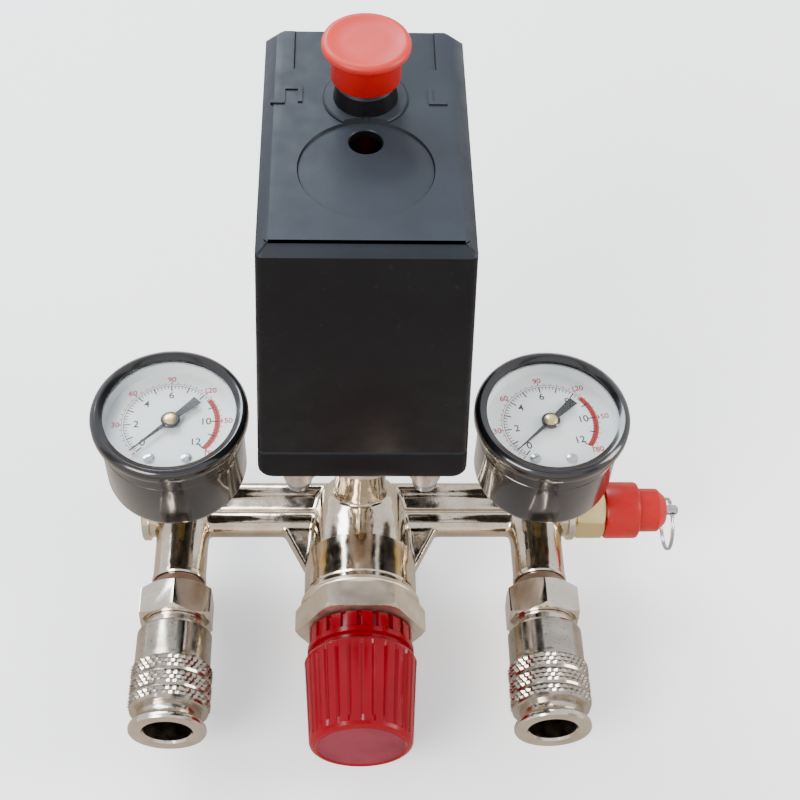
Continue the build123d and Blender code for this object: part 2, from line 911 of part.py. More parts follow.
with BuildPart() as safety_valve_cap:
    with BuildSketch(side_section()):
        with BuildLine():
            Polyline(
                *turned(
                    (valve_hex_end + 0.1, valve_hex_end + 0.7, valve_cap_radius - 0.6, valve_cap_radius),
                    (valve_hex_end + 0.7, valve_cap_step - 0.6, valve_cap_radius),
                    (valve_cap_step - 0.6, valve_cap_step, valve_cap_radius, valve_cap_radius - 0.6),
                    (valve_cap_step, valve_cap_end - 1, valve_cap_tip_radius),
                    (valve_cap_end - 1, valve_cap_end, valve_cap_tip_radius, valve_cap_tip_radius - 1),
                ),
                close=True,
            )
        make_face()
    revolve(axis=bar_axis)
    with BuildSketch(side_section()):
        with BuildLine():
            Polyline(
                *turned(
                    (valve_hex_end, valve_cap_step - 1.4, valve_tower_radius),
                    (valve_cap_step - 1.4, valve_cap_end - 3, valve_tower_radius - 1.2),
                    (valve_cap_end - 3, valve_cap_end, valve_stem_radius + running_gap),
                ),
                close=True,
            )
        make_face()
    revolve(axis=bar_axis, mode=Mode.SUBTRACT)

with BuildPart() as safety_valve_stem:
    with BuildSketch(side_section()):
        with BuildLine():
            Polyline(
                *turned(
                    (valve_seat + 0.1, valve_seat + 2.6, valve_tower_radius - 1.5),
                    (valve_seat + 2.6, valve_stem_end - 0.4, valve_stem_radius),
                    (valve_stem_end - 0.4, valve_stem_end, valve_stem_radius, valve_stem_radius - 0.4),
                ),
                close=True,
            )
        make_face()
    revolve(axis=bar_axis)
    with Locations(facing(0, axis_height)):
        with Locations((pull_ring_station, 0)):
            Cylinder(pull_ring_wire + 0.1, 10, mode=Mode.SUBTRACT)

with BuildPart() as pull_ring:
    with BuildSketch(Plane(origin=(pull_ring_station, 0, axis_height), x_dir=(1, 0, 0), z_dir=(0, 1, 0))):
        Circle(pull_ring_wire)
    revolve(
        axis=Axis((pull_ring_station, 0, axis_height - pull_ring_radius), (1, 0, 0)), revolution_arc=360
    )

# ---------------------------------------------------------------- switch: housing
lobe_offset = lobe_spacing / 2
bolt_places = [(x, y) for x in (-lobe_offset, lobe_offset) for y in (-lobe_offset, lobe_offset)]

with BuildPart() as port_flange:
    with Locations(level(hub_bottom)):
        Cylinder(hub_radius, hub_depth, align=(Align.CENTER, Align.CENTER, Align.MIN))
    with BuildSketch(level(switch_bottom - lobe_depth)):
        for angle in (45, 135):
            SlotCenterToCenter(lobe_spacing * 2**0.5, lobe_width, rotation=angle)
    extrude(amount=lobe_depth)
    with Locations(level(hub_bottom)):
        Cylinder(
            stub_radius,
            stub_engagement,
            align=(Align.CENTER, Align.CENTER, Align.MIN),
            mode=Mode.SUBTRACT,
        )
        Cylinder(passage_radius, 3 * hub_depth, mode=Mode.SUBTRACT)
    with Locations(level(switch_bottom)):
        Cylinder(disc_radius - 4, 2 * 1.8, mode=Mode.SUBTRACT)
        with Locations(*bolt_places):
            Cylinder(bolt_radius, 4 * lobe_depth, mode=Mode.SUBTRACT)

with BuildPart() as flange_bolts:
    with Locations(level(switch_bottom - lobe_depth)):
        with Locations(*bolt_places):
            Cylinder(bolt_radius, lobe_depth + 7.5, align=(Align.CENTER, Align.CENTER, Align.MIN))
            Cylinder(3.6, 2.8, align=(Align.CENTER, Align.CENTER, Align.MAX))
            with Locations((0, 0, -2.8)):
                Box(5.0, 0.9, 2.0, mode=Mode.SUBTRACT)

# Drafted blocks that the housing and its hollows are cut from: lower and upper height, wall
block_heights = {
    "tray": (0.0, tray_height, 0.0),
    "tray_hollow": (floor_thickness, tray_height + 0.01, wall),
    "hood": (tray_height, switch_height, 0.0),
    "hood_hollow": (tray_height - 0.01, switch_height - cover_edge_chamfer, wall),
}
drafted_blocks = {}
for name, (lower, upper, thickness) in block_heights.items():
    with BuildPart() as drafted_block:
        for size, plane in (
            (switch_width, facing(switch_offset, switch_bottom)),
            (switch_depth, Plane((0, switch_offset, switch_bottom), x_dir=(0, 1, 0), z_dir=(1, 0, 0))),
        ):
            low_half = size / 2 - switch_inset(lower, thickness)
            high_half = size / 2 - switch_inset(upper, thickness)
            with BuildSketch(plane):
                with BuildLine():
                    Polyline(
                        (-low_half, lower),
                        (low_half, lower),
                        (high_half, upper),
                        (-high_half, upper),
                        close=True,
                    )
                make_face()
            extrude(
                amount=switch_depth,
                both=True,
                mode=Mode.ADD if size == switch_width else Mode.INTERSECT,
            )
        uprights = drafted_block.edges().filter_by(lambda e: abs(e.tangent_at(0.5).Z) > 0.9)
        chamfer(uprights.group_by(Axis.Y)[-1], rear_corner_chamfer)
    drafted_blocks[name] = drafted_block.part

with BuildPart() as switch_base:
    add(drafted_blocks["tray"])
    add(drafted_blocks["tray_hollow"], mode=Mode.SUBTRACT)
    with Locations(level(floor_top - 1)):
        Cylinder(
            plunger_radius + 2.6,
            plunger_top - floor_thickness - 0.6,
            align=(Align.CENTER, Align.CENTER, Align.MIN),
        )
        with Locations(*bolt_places):
            Cylinder(3.4, 6.0, align=(Align.CENTER, Align.CENTER, Align.MIN))
    with Locations(level(switch_bottom)):
        Cylinder(plunger_radius + running_gap, 60, mode=Mode.SUBTRACT)
        Cylinder(disc_radius, 2 * disc_thickness, mode=Mode.SUBTRACT)
        with Locations(*bolt_places):
            Cylinder(bolt_radius, 60, mode=Mode.SUBTRACT)
        with Locations((-cable_entry_x, cable_entry_y), (cable_entry_x, cable_entry_y)):
            Cylinder(cable_hole_radius, 60, mode=Mode.SUBTRACT)

well_bottom = switch_bottom + bracket_top + 3.4
with BuildPart() as switch_cover:
    add(drafted_blocks["hood"])
    chamfer(switch_cover.faces().sort_by(Axis.Z)[-1].edges(), cover_edge_chamfer)
    add(drafted_blocks["hood_hollow"], mode=Mode.SUBTRACT)
    with Locations(level(well_bottom, 0, cover_screw_y)):
        Cylinder(
            cover_screw_well_radius + 1.8,
            cover_top - well_bottom - 0.5,
            align=(Align.CENTER, Align.CENTER, Align.MIN),
        )
    with BuildSketch(upright_section(0, knob_y)):
        with BuildLine():
            Polyline(
                *turned(
                    (cover_top - 10, cover_top, stem_radius + 2),
                    (cover_top, cover_top + 0.9, collar_radius + 1.2),
                    (cover_top + 0.9, cover_top + collar_height, collar_radius),
                ),
                close=True,
            )
        make_face()
    revolve(axis=upright_axis(0, knob_y))
    # Sunk dish, sunk label panel and raised arrow on the top face
    with Locations(level(cover_top, 0, dish_y)):
        Cylinder(dish_radius, 2 * dish_depth, mode=Mode.SUBTRACT)
    with BuildSketch(level(cover_top - 0.4, 0, label_y)):
        Rectangle(label_width, label_depth)
    extrude(amount=1, mode=Mode.SUBTRACT)
    with BuildSketch(level(cover_top - 0.1, -14.3, 27.2)):
        with BuildLine():
            Polyline((-2, -4), (2, -4), (2, 0), (4.4, 0), (0, 4.2), (-4.4, 0), (-2, 0), close=True)
        make_face()
    extrude(amount=0.35)
    with Locations(level(well_bottom + 1.6, 0, cover_screw_y)):
        Cylinder(
            cover_screw_well_radius,
            cover_top,
            align=(Align.CENTER, Align.CENTER, Align.MIN),
            mode=Mode.SUBTRACT,
        )
        Cylinder(cover_screw_radius + 0.2, 20, mode=Mode.SUBTRACT)
    with Locations(level(cover_top, 0, knob_y)):
        Cylinder(stem_radius + running_gap, 60, mode=Mode.SUBTRACT)

with BuildPart() as cover_screw:
    with BuildSketch(upright_section(0, cover_screw_y)):
        with BuildLine():
            Polyline(
                *turned(
                    (switch_bottom + bracket_top - 4, well_bottom + 1.6, cover_screw_radius),
                    (well_bottom + 1.6, well_bottom + 4.4, cover_screw_well_radius - 0.4),
                ),
                close=True,
            )
        make_face()
    revolve(axis=upright_axis(0, cover_screw_y))
    with Locations(level(well_bottom + 4.4, 0, cover_screw_y)):
        Box(8, 1.0, 2.4, mode=Mode.SUBTRACT)

with BuildPart() as cable_grommets:
    for side in (-1, 1):
        with BuildSketch(upright_section(side * cable_entry_x, cable_entry_y)):
            with BuildLine():
                Polyline(
                    *turned(
                        (switch_bottom - 1.4, switch_bottom, cable_hole_radius + 1.0),
                        (switch_bottom, floor_top, cable_hole_radius),
                        (floor_top, floor_top + 1.2, cable_hole_radius + 0.7),
                    ),
                    close=True,
                )
            make_face()
        revolve(axis=upright_axis(side * cable_entry_x, cable_entry_y))
        with Locations(level(switch_bottom, side * cable_entry_x, cable_entry_y)):
            Cylinder(cable_bore_radius, 30, mode=Mode.SUBTRACT)

# ---------------------------------------------------------------- switch: pressure side
lever_bottom = switch_bottom + lever_height
pivot_height = switch_bottom + lever_pivot_height

with BuildPart() as switch_diaphragm:
    with Locations(level(switch_bottom)):
        Cylinder(
            disc_radius - running_gap,
            disc_thickness,
            align=(Align.CENTER, Align.CENTER, Align.MIN),
        )

with BuildPart() as plunger:
    with BuildSketch(upright_section()):
        with BuildLine():
            Polyline(
                *turned(
                    (switch_bottom + disc_thickness, switch_bottom + plunger_top, plunger_radius),
                    (switch_bottom + plunger_top, switch_bottom + plunger_nose_top, 4.0, 2.4),
                ),
                close=True,
            )
        make_face()
    revolve(axis=upright_axis())

with BuildPart() as switch_frame:
    with BuildSketch(facing(bracket_rear_y, switch_bottom)):
        with Locations((0, (floor_thickness + bracket_top) / 2)):
            Rectangle(2 * bracket_half_width, bracket_top - floor_thickness)
        with Locations((0, (floor_thickness + bracket_top) / 2 - bracket_wall)):
            Rectangle(
                2 * (bracket_half_width - bracket_wall),
                bracket_top - floor_thickness,
                mode=Mode.SUBTRACT,
            )
    extrude(amount=bracket_rear_y - bracket_front_y)
    with Locations(Plane(origin=(0, lever_pivot_y, pivot_height), x_dir=(0, 1, 0), z_dir=(1, 0, 0))):
        Cylinder(pin_radius, 60, mode=Mode.SUBTRACT)
    with Locations(level(switch_bottom + bracket_top)):
        Cylinder(3.0, 8, mode=Mode.SUBTRACT)
        with Locations((0, cover_screw_y)):
            Cylinder(cover_screw_radius, 8, mode=Mode.SUBTRACT)

with BuildPart() as range_bolt:
    with BuildSketch(upright_section()):
        with BuildLine():
            cap_bottom = switch_bottom + bracket_top - 8
            Polyline(
                *turned(
                    (cap_bottom, cap_bottom + 2, 8.4),
                    (cap_bottom + 2, switch_bottom + bracket_top + 1, 3.0),
                ),
                close=True,
            )
        make_face()
    revolve(axis=upright_axis())
    with BuildSketch(level(switch_bottom + bracket_top + 1)):
        RegularPolygon(radius=5.0, side_count=6, major_radius=False)
    extrude(amount=4)

with BuildPart() as switch_lever:
    with BuildSketch(level(lever_bottom)):
        with Locations((0, (lever_end_y - 10) / 2)):
            Rectangle(2 * lever_half_width, lever_end_y + 10)
    extrude(amount=lever_thickness)
    for side in (-1, 1):
        rail_x = side * (lever_half_width - 0.6)
        with BuildSketch(level(lever_bottom, rail_x)):
            with Locations((0, -12.0)):
                Rectangle(1.2, 9.0)
        extrude(amount=7.2)
        with BuildSketch(level(lever_bottom, rail_x)):
            with Locations((0, 12.5)):
                Rectangle(1.2, 41.0)
        extrude(amount=4.0)
    with Locations(Plane(origin=(0, lever_pivot_y, pivot_height), x_dir=(0, 1, 0), z_dir=(1, 0, 0))):
        Cylinder(pin_radius + running_gap, 60, mode=Mode.SUBTRACT)

rocker_pivot = switch_bottom + rocker_height
tower_half_width = 10.9
with BuildPart() as pivot_pins:
    with Locations(Plane(origin=(0, lever_pivot_y, pivot_height), x_dir=(0, 1, 0), z_dir=(1, 0, 0))):
        Cylinder(pin_radius, 2 * bracket_half_width)
    with Locations(Plane(origin=(0, rocker_y, rocker_pivot), x_dir=(0, 1, 0), z_dir=(1, 0, 0))):
        Cylinder(pin_radius, 2 * tower_half_width)

# ---------------------------------------------------------------- switch: contacts and button
strip_places = (-strip_outer_x, -strip_inner_x, strip_inner_x, strip_outer_x)
strip_bottom = switch_bottom + shelf_top
block_height = switch_bottom + block_top

with BuildPart() as contact_block:
    with BuildSketch(level(floor_top)):
        with Locations((0, (block_front_y + block_rear_y) / 2)):
            Rectangle(2 * block_half_width, block_rear_y - block_front_y)
    extrude(amount=block_top - floor_thickness)
    with BuildSketch(level(floor_top)):
        with Locations((0, (shelf_front_y + block_front_y) / 2)):
            Rectangle(2 * block_half_width, block_front_y - shelf_front_y)
    extrude(amount=shelf_top - floor_thickness)
    for side in (-1, 1):
        with BuildSketch(level(block_height, side * (tower_half_width - 1.5), rocker_y)):
            Rectangle(3.0, 6.0)
        extrude(amount=rocker_pivot + 4 - block_height)
    with Locations(Plane(origin=(0, rocker_y, rocker_pivot), x_dir=(0, 1, 0), z_dir=(1, 0, 0))):
        Cylinder(pin_radius, 60, mode=Mode.SUBTRACT)
    with Locations(*(level(block_height, x, block_rear_y - 3.5) for x in strip_places)):
        Cylinder(1.5, 16, mode=Mode.SUBTRACT)

with BuildPart() as fixed_contacts:
    for x in strip_places:
        with BuildSketch(Plane(origin=(x - strip_width / 2, 0, 0), x_dir=(0, 1, 0), z_dir=(1, 0, 0))):
            with BuildLine():
                strip_top = block_height + strip_thickness
                Polyline(
                    (strip_front_y, strip_bottom),
                    (block_front_y, strip_bottom),
                    (block_front_y, block_height),
                    (block_rear_y - 0.5, block_height),
                    (block_rear_y - 0.5, strip_top),
                    (block_front_y - strip_thickness, strip_top),
                    (block_front_y - strip_thickness, strip_bottom + strip_thickness),
                    (strip_front_y, strip_bottom + strip_thickness),
                    close=True,
                )
            make_face()
        extrude(amount=strip_width)
        with Locations(level(block_height, x, block_rear_y - 3.5)):
            Cylinder(1.5, 16, mode=Mode.SUBTRACT)

with BuildPart() as terminal_screws:
    with Locations(*(level(strip_top, x, block_rear_y - 3.5) for x in strip_places)):
        Cylinder(1.5, 8, align=(Align.CENTER, Align.CENTER, Align.MAX))
        Cylinder(2.6, 2.0, align=(Align.CENTER, Align.CENTER, Align.MIN))
        with Locations((0, 0, 2)):
            Box(6, 0.8, 1.6, mode=Mode.SUBTRACT)

bridge_bottom = strip_bottom + strip_thickness + free_gap
carrier_bottom = bridge_bottom + 1.1
with BuildPart() as contact_carrier:
    with BuildSketch(level(carrier_bottom, 0, 36.8)):
        Rectangle(36, 5.6)
    extrude(amount=lever_bottom - carrier_bottom)

with BuildPart() as moving_contacts:
    for side in (-1, 1):
        bridge_x = side * (strip_inner_x + strip_outer_x) / 2
        with BuildSketch(level(bridge_bottom, bridge_x, 36.8)):
            SlotOverall(15.0, 4.4)
        extrude(amount=carrier_bottom - bridge_bottom)

button_top = cover_top + button_height
button_bottom = button_top - button_length
rocker_arm_top = rocker_pivot + 1.5
with BuildPart() as on_off_knob:
    with BuildSketch(upright_section(0, knob_y)):
        with BuildLine():
            Polyline(
                *turned(
                    (button_bottom, button_top - 4.2, button_skirt_radius),
                    (button_top - 4.2, button_top - button_rim, button_skirt_radius, button_radius - 0.4),
                    (button_top - button_rim, button_top - 0.5, button_radius),
                    (button_top - 0.5, button_top, button_radius, button_radius - 0.5),
                ),
                close=True,
            )
        make_face()
    revolve(axis=upright_axis(0, knob_y))
    with BuildSketch(upright_section(0, knob_y)):
        with BuildLine():
            Polyline(*turned((button_bottom, button_top - 3.6, collar_radius + 0.4)), close=True)
        make_face()
    revolve(axis=upright_axis(0, knob_y), mode=Mode.SUBTRACT)
    with BuildSketch(upright_section(0, knob_y)):
        with BuildLine():
            Polyline(
                *turned(
                    (rocker_arm_top + free_gap, rocker_arm_top + 5, 1.0),
                    (rocker_arm_top + 5, button_top - 3, stem_radius),
                ),
                close=True,
            )
        make_face()
    revolve(axis=upright_axis(0, knob_y))

with BuildPart() as trip_rocker:
    with Locations(Plane(origin=(0, rocker_y, rocker_pivot), x_dir=(0, 1, 0), z_dir=(1, 0, 0))):
        Cylinder(3.0, 2 * (tower_half_width - 3.0 - free_gap))
    with BuildSketch(level(rocker_pivot - 1.2)):
        with Locations((0, (rocker_y + knob_y - 1.2) / 2)):
            Rectangle(6, rocker_y - knob_y + 1.2)
    extrude(amount=2.7)
    with BuildSketch(level(rocker_pivot - 14)):
        with Locations((0, rocker_y)):
            Rectangle(6, 2.4)
    extrude(amount=14)
    with Locations(Plane(origin=(0, rocker_y, rocker_pivot), x_dir=(0, 1, 0), z_dir=(1, 0, 0))):
        Cylinder(pin_radius + running_gap, 60, mode=Mode.SUBTRACT)

# ---------------------------------------------------------------- coil springs
# name: (plane at the first coil, mean radius, wire radius, length between coil centres, coils)
spring_sizes = {
    "main_spring": (level(lever_bottom + lever_thickness + 1.4), 7.4, 1.1, 22.0, 5),
    "regulator_spring": (ahead(bonnet_seat + 2.6), 6.7, 0.8, 11.3 - seat_travel, 4),
    "poppet_spring": (ahead(poppet_pocket_start + 0.6), 2.8, 0.35, 4.6, 4),
    "safety_valve_spring": (
        aside(valve_seat + 3.6 + valve_lift),
        3.6,
        0.6,
        14.8 - valve_lift,
        7,
    ),
}
for name, x in (("left", -port_spacing), ("right", port_spacing)):
    spring_sizes[f"coupler_{name}_sleeve_spring"] = (
        ahead(collar_end + 0.8, x), 8.1, 0.4, 7.0 - sleeve_travel, 4
    )
    spring_sizes[f"coupler_{name}_valve_spring"] = (
        ahead(coupler_inner_start + 0.8, x), 3.5, 0.4, 7.6 - coupler_valve_travel, 4
    )

spring_pieces = {}
for name, (seat_plane, mean_radius, wire_radius, length, coils) in spring_sizes.items():
    with BuildPart() as coil_spring:
        with BuildLine() as coil_path:
            Helix(
                pitch=length / coils,
                height=length,
                radius=mean_radius,
                center=seat_plane.origin,
                direction=seat_plane.z_dir,
            )
        with BuildSketch(Plane(origin=coil_path.line @ 0, z_dir=coil_path.line % 0)):
            Circle(wire_radius)
        sweep(is_frenet=True)
    spring_pieces[name] = coil_spring.part

# ---------------------------------------------------------------- files
pieces = {
    "manifold_body": manifold_body.part,
    "end_plug": end_plug.part,
    "regulator_bonnet": regulator_bonnet.part,
    "regulator_diaphragm": regulator_diaphragm.part,
    "regulator_poppet": regulator_poppet.part,
    "adjusting_screw": adjusting_screw.part,
    "spring_seat": spring_seat.part,
    "regulator_knob": regulator_knob.part,
    "gauge_sockets": gauge_sockets.part,
    "bourdon_tubes": bourdon_tubes.part,
    "gauge_glasses": gauge_glasses.part,
    "dial_screws": dial_screws.part,
    "coupler_balls": coupler_balls.part,
    "safety_valve_body": safety_valve_body.part,
    "safety_valve_cap": safety_valve_cap.part,
    "safety_valve_stem": safety_valve_stem.part,
    "pull_ring": pull_ring.part,
    "port_flange": port_flange.part,
    "flange_bolts": flange_bolts.part,
    "switch_base": switch_base.part,
    "switch_cover": switch_cover.part,
    "cover_screw": cover_screw.part,
    "cable_grommets": cable_grommets.part,
    "switch_diaphragm": switch_diaphragm.part,
    "plunger": plunger.part,
    "switch_frame": switch_frame.part,
    "range_bolt": range_bolt.part,
    "switch_lever": switch_lever.part,
    "pivot_pins": pivot_pins.part,
    "contact_block": contact_block.part,
    "fixed_contacts": fixed_contacts.part,
    "terminal_screws": terminal_screws.part,
    "contact_carrier": contact_carrier.part,
    "moving_contacts": moving_contacts.part,
    "on_off_knob": on_off_knob.part,
    "trip_rocker": trip_rocker.part,
    **gauge_pieces,
    **coupler_pieces,
    **spring_pieces,
}

os.makedirs("parts", exist_ok=True)
for name, piece in pieces.items():
    piece.label = name
    export_step(piece, f"parts/{name}.step")
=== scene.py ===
"""Air-compressor pressure switch on its nickel-plated manifold.

The visual model is built in millimetres around positions read from the frame, then settled in
the frame in metres.  +Z is up, -Y runs towards the regulator knob and +X towards the relief
valve.
"""
import logging
import math
from collections.abc import Callable, Sequence
from dataclasses import dataclass
from enum import Enum

import bpy
from mathutils import Matrix, Vector


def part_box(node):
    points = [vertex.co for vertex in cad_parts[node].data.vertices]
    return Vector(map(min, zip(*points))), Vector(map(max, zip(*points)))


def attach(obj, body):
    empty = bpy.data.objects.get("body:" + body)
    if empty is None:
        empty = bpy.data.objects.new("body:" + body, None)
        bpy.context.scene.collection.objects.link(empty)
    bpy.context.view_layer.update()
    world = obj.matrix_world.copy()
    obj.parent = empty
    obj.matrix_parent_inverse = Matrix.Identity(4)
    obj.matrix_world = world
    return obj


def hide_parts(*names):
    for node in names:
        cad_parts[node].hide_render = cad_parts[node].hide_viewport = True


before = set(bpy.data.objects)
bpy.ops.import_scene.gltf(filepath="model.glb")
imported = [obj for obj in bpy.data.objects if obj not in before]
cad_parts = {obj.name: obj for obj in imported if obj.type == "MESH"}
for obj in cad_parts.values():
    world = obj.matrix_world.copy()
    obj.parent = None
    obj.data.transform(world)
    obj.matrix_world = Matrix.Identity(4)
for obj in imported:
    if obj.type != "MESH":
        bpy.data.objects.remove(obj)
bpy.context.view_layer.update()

log = logging.getLogger("pressure_switch")

MILLIMETRE = 0.001
Profile = Sequence[tuple[float, float]]
Colour = tuple[float, float, float]


# ------------------------------------------------------------------ named options
class Facing(Enum):
    """Where a workpiece's own axis points once it is in place."""

    UP = "up"
    FORWARD = "forward"
    SIDE = "side"

    def matrix(self, origin: Vector) -> Matrix:
        """Place of a workpiece.

        Args:
            origin: Point that the workpiece's own origin goes to, in millimetres.

        Returns:
            The matrix that turns and moves the workpiece there.
        """
        columns = {
            Facing.UP: ((1, 0, 0), (0, 1, 0), (0, 0, 1)),
            Facing.FORWARD: ((1, 0, 0), (0, 0, 1), (0, -1, 0)),
            Facing.SIDE: ((0, 1, 0), (0, 0, 1), (1, 0, 0)),
        }[self]
        return Matrix.Translation(origin) @ Matrix(columns).transposed().to_4x4()


class Cut(Enum):
    """How two workpieces are combined."""

    JOIN = "UNION"
    REMOVE = "DIFFERENCE"
    KEEP_SHARED = "INTERSECT"


class Slot(Enum):
    """The record's material slots."""

    CASTING = "plated_casting"
    COUPLER = "coupler_plating"
    STEEL = "steel"
    BRASS = "brass"
    ALLOY = "cast_alloy"
    HOUSING = "black_housing"
    ENAMEL = "black_enamel"
    BUTTON = "red_button"
    CAP = "red_cap"
    CRIMSON = "crimson_plastic"
    WINDOW = "window"
    DIAL = "dial_white"
    NEEDLE = "needle_black"


# ------------------------------------------------------------------ finishes
class Recipe:
    """Builds one procedural material, node by node."""

    def __init__(self, name: str) -> None:
        """Starts an empty material.

        Args:
            name: The material's name.
        """
        self.material = bpy.data.materials.new(name)
        self.material.use_nodes = True
        self.tree = self.material.node_tree
        self.tree.nodes.clear()
        output = self.tree.nodes.new("ShaderNodeOutputMaterial")
        self.surface = self.tree.nodes.new("ShaderNodeBsdfPrincipled")
        self.tree.links.new(self.surface.outputs["BSDF"], output.inputs["Surface"])
        self.place = self.tree.nodes.new("ShaderNodeTexCoord").outputs["Object"]

    def _feed(self, socket: bpy.types.NodeSocket, value: object) -> None:
        """Links or sets one input.

        Args:
            socket: The input.
            value: An output to link, or a constant to set.
        """
        if isinstance(value, bpy.types.NodeSocket):
            self.tree.links.new(value, socket)
        else:
            socket.default_value = value

    def set(self, **values: object) -> None:
        """Sets the surface's inputs.

        Args:
            **values: Input names with underscores for spaces, and what goes in.
        """
        for name, value in values.items():
            self._feed(self.surface.inputs[name.replace("_", " ")], value)

    def noise(
        self, size: float, detail: float = 3.0, stretch: Colour = (1.0, 1.0, 1.0)
    ) -> bpy.types.NodeSocket:
        """Cloudy noise over the piece.

        Args:
            size: Size of one cloud in millimetres.
            detail: How many finer layers are added.
            stretch: How much denser the noise runs along each axis.

        Returns:
            The noise, from 0 to 1.
        """
        mapping = self.tree.nodes.new("ShaderNodeMapping")
        mapping.inputs["Scale"].default_value = stretch
        self.tree.links.new(self.place, mapping.inputs["Vector"])
        noise = self.tree.nodes.new("ShaderNodeTexNoise")
        noise.inputs["Scale"].default_value = 1 / (size * MILLIMETRE)
        noise.inputs["Detail"].default_value = detail
        self.tree.links.new(mapping.outputs["Vector"], noise.inputs["Vector"])
        return noise.outputs["Fac"]

    def spread(
        self, value: bpy.types.NodeSocket, start: float, end: float, low: float, high: float
    ) -> bpy.types.NodeSocket:
        """Maps one range to another and clamps it.

        Args:
            value: What is mapped.
            start: Value that becomes low.
            end: Value that becomes high.
            low: Result at start.
            high: Result at end.

        Returns:
            The mapped value.
        """
        node = self.tree.nodes.new("ShaderNodeMapRange")
        self._feed(node.inputs["Value"], value)
        for name, number in (
            ("From Min", start), ("From Max", end), ("To Min", low), ("To Max", high),
        ):
            node.inputs[name].default_value = number
        return node.outputs["Result"]

    def blend(self, factor: object, first: object, second: object) -> bpy.types.NodeSocket:
        """Mixes two colours.

        Args:
            factor: Share of the second colour.
            first: A colour or a colour output.
            second: A colour or a colour output.

        Returns:
            The mixed colour.
        """
        node = self.tree.nodes.new("ShaderNodeMix")
        node.data_type = "RGBA"
        self._feed(node.inputs[0], factor)
        for socket, value in ((node.inputs[6], first), (node.inputs[7], second)):
            self._feed(socket, (*value, 1.0) if isinstance(value, tuple) else value)
        return node.outputs[2]

    def times(self, first: object, second: object) -> bpy.types.NodeSocket:
        """Multiplies two values.

        Args:
            first: A number or an output.
            second: A number or an output.

        Returns:
            The product.
        """
        node = self.tree.nodes.new("ShaderNodeMath")
        node.operation = "MULTIPLY"
        self._feed(node.inputs[0], first)
        self._feed(node.inputs[1], second)
        return node.outputs[0]

    def upward(self) -> bpy.types.NodeSocket:
        """How far the surface faces up.

        Returns:
            0 for walls and undersides, 1 for what faces up.
        """
        split = self.tree.nodes.new("ShaderNodeSeparateXYZ")
        normal = self.tree.nodes.new("ShaderNodeNewGeometry").outputs["Normal"]
        self.tree.links.new(normal, split.inputs[0])
        return self.spread(split.outputs["Z"], 0.3, 0.95, 0.0, 1.0)

    def bump(self, height: bpy.types.NodeSocket, strength: float, depth: float) -> None:
        """Roughens the surface.

        Args:
            height: Height from 0 to 1.
            strength: Strength of the effect.
            depth: Depth in millimetres.
        """
        node = self.tree.nodes.new("ShaderNodeBump")
        node.inputs["Strength"].default_value = strength
        node.inputs["Distance"].default_value = depth * MILLIMETRE
        self.tree.links.new(height, node.inputs["Height"])
        earlier = self.surface.inputs["Normal"]
        if earlier.is_linked:
            self.tree.links.new(earlier.links[0].from_socket, node.inputs["Normal"])
        self.tree.links.new(node.outputs["Normal"], earlier)


@dataclass(frozen=True)
class Finish:
    """What a surface is made of."""

    name: str

    def fill(self, recipe: Recipe) -> None:
        """Adds this finish's nodes.

        Args:
            recipe: The material being built.
        """
        raise NotImplementedError

    def material(self) -> bpy.types.Material:
        """The finish's material, made once.

        Returns:
            The material.
        """
        made = bpy.data.materials.get(self.name)
        if made is None:
            recipe = Recipe(self.name)
            self.fill(recipe)
            made = recipe.material
        return made


@dataclass(frozen=True)
class Plated(Finish):
    """Bright metal: plated casting, turned plating, brass or steel.

    Attributes:
        colour: The metal's colour; on the nickel finishes its warm champagne is partly the
            plating's own tint and partly a painted warm-brown reflection.
        stain: Colour of its tarnished patches.
        roughness: Roughness where it is cleanest.
        haze: Roughness added in patches.
        ripple: Size of its waves in millimetres.
        ripple_depth: Depth of its waves in millimetres.
        grain: Stretch of its fine tool marks along each axis.
        staining: Share of tarnish.
    """

    # Warm champagne default: partly the nickel's own tint, partly a painted warm-brown reflection.
    colour: Colour = (0.64, 0.56, 0.45)
    stain: Colour = (0.34, 0.23, 0.13)
    roughness: float = 0.1
    haze: float = 0.14
    ripple: float = 6.0
    ripple_depth: float = 0.25
    grain: Colour = (1.0, 1.0, 1.0)
    staining: float = 0.5

    def fill(self, recipe: Recipe) -> None:
        """Adds tarnish, haze, ripples, tool marks and pits.

        Args:
            recipe: The material being built.
        """
        patches = recipe.spread(recipe.noise(9.0, 5.0), 0.42, 0.72, 0.0, self.staining)
        specks = recipe.spread(recipe.noise(0.9, 2.0), 0.63, 0.74, 0.0, self.staining)
        tarnished = recipe.blend(patches, self.colour, self.stain)
        recipe.set(
            Base_Color=recipe.blend(specks, tarnished, tuple(c * 0.45 for c in self.stain)),
            Metallic=1.0,
            Roughness=recipe.spread(
                recipe.noise(3.5, 6.0), 0.35, 0.7, self.roughness, self.roughness + self.haze
            ),
        )
        recipe.bump(recipe.noise(self.ripple, 1.5), 0.5, self.ripple_depth)
        recipe.bump(recipe.noise(0.6, 3.0, self.grain), 0.25, 0.05)


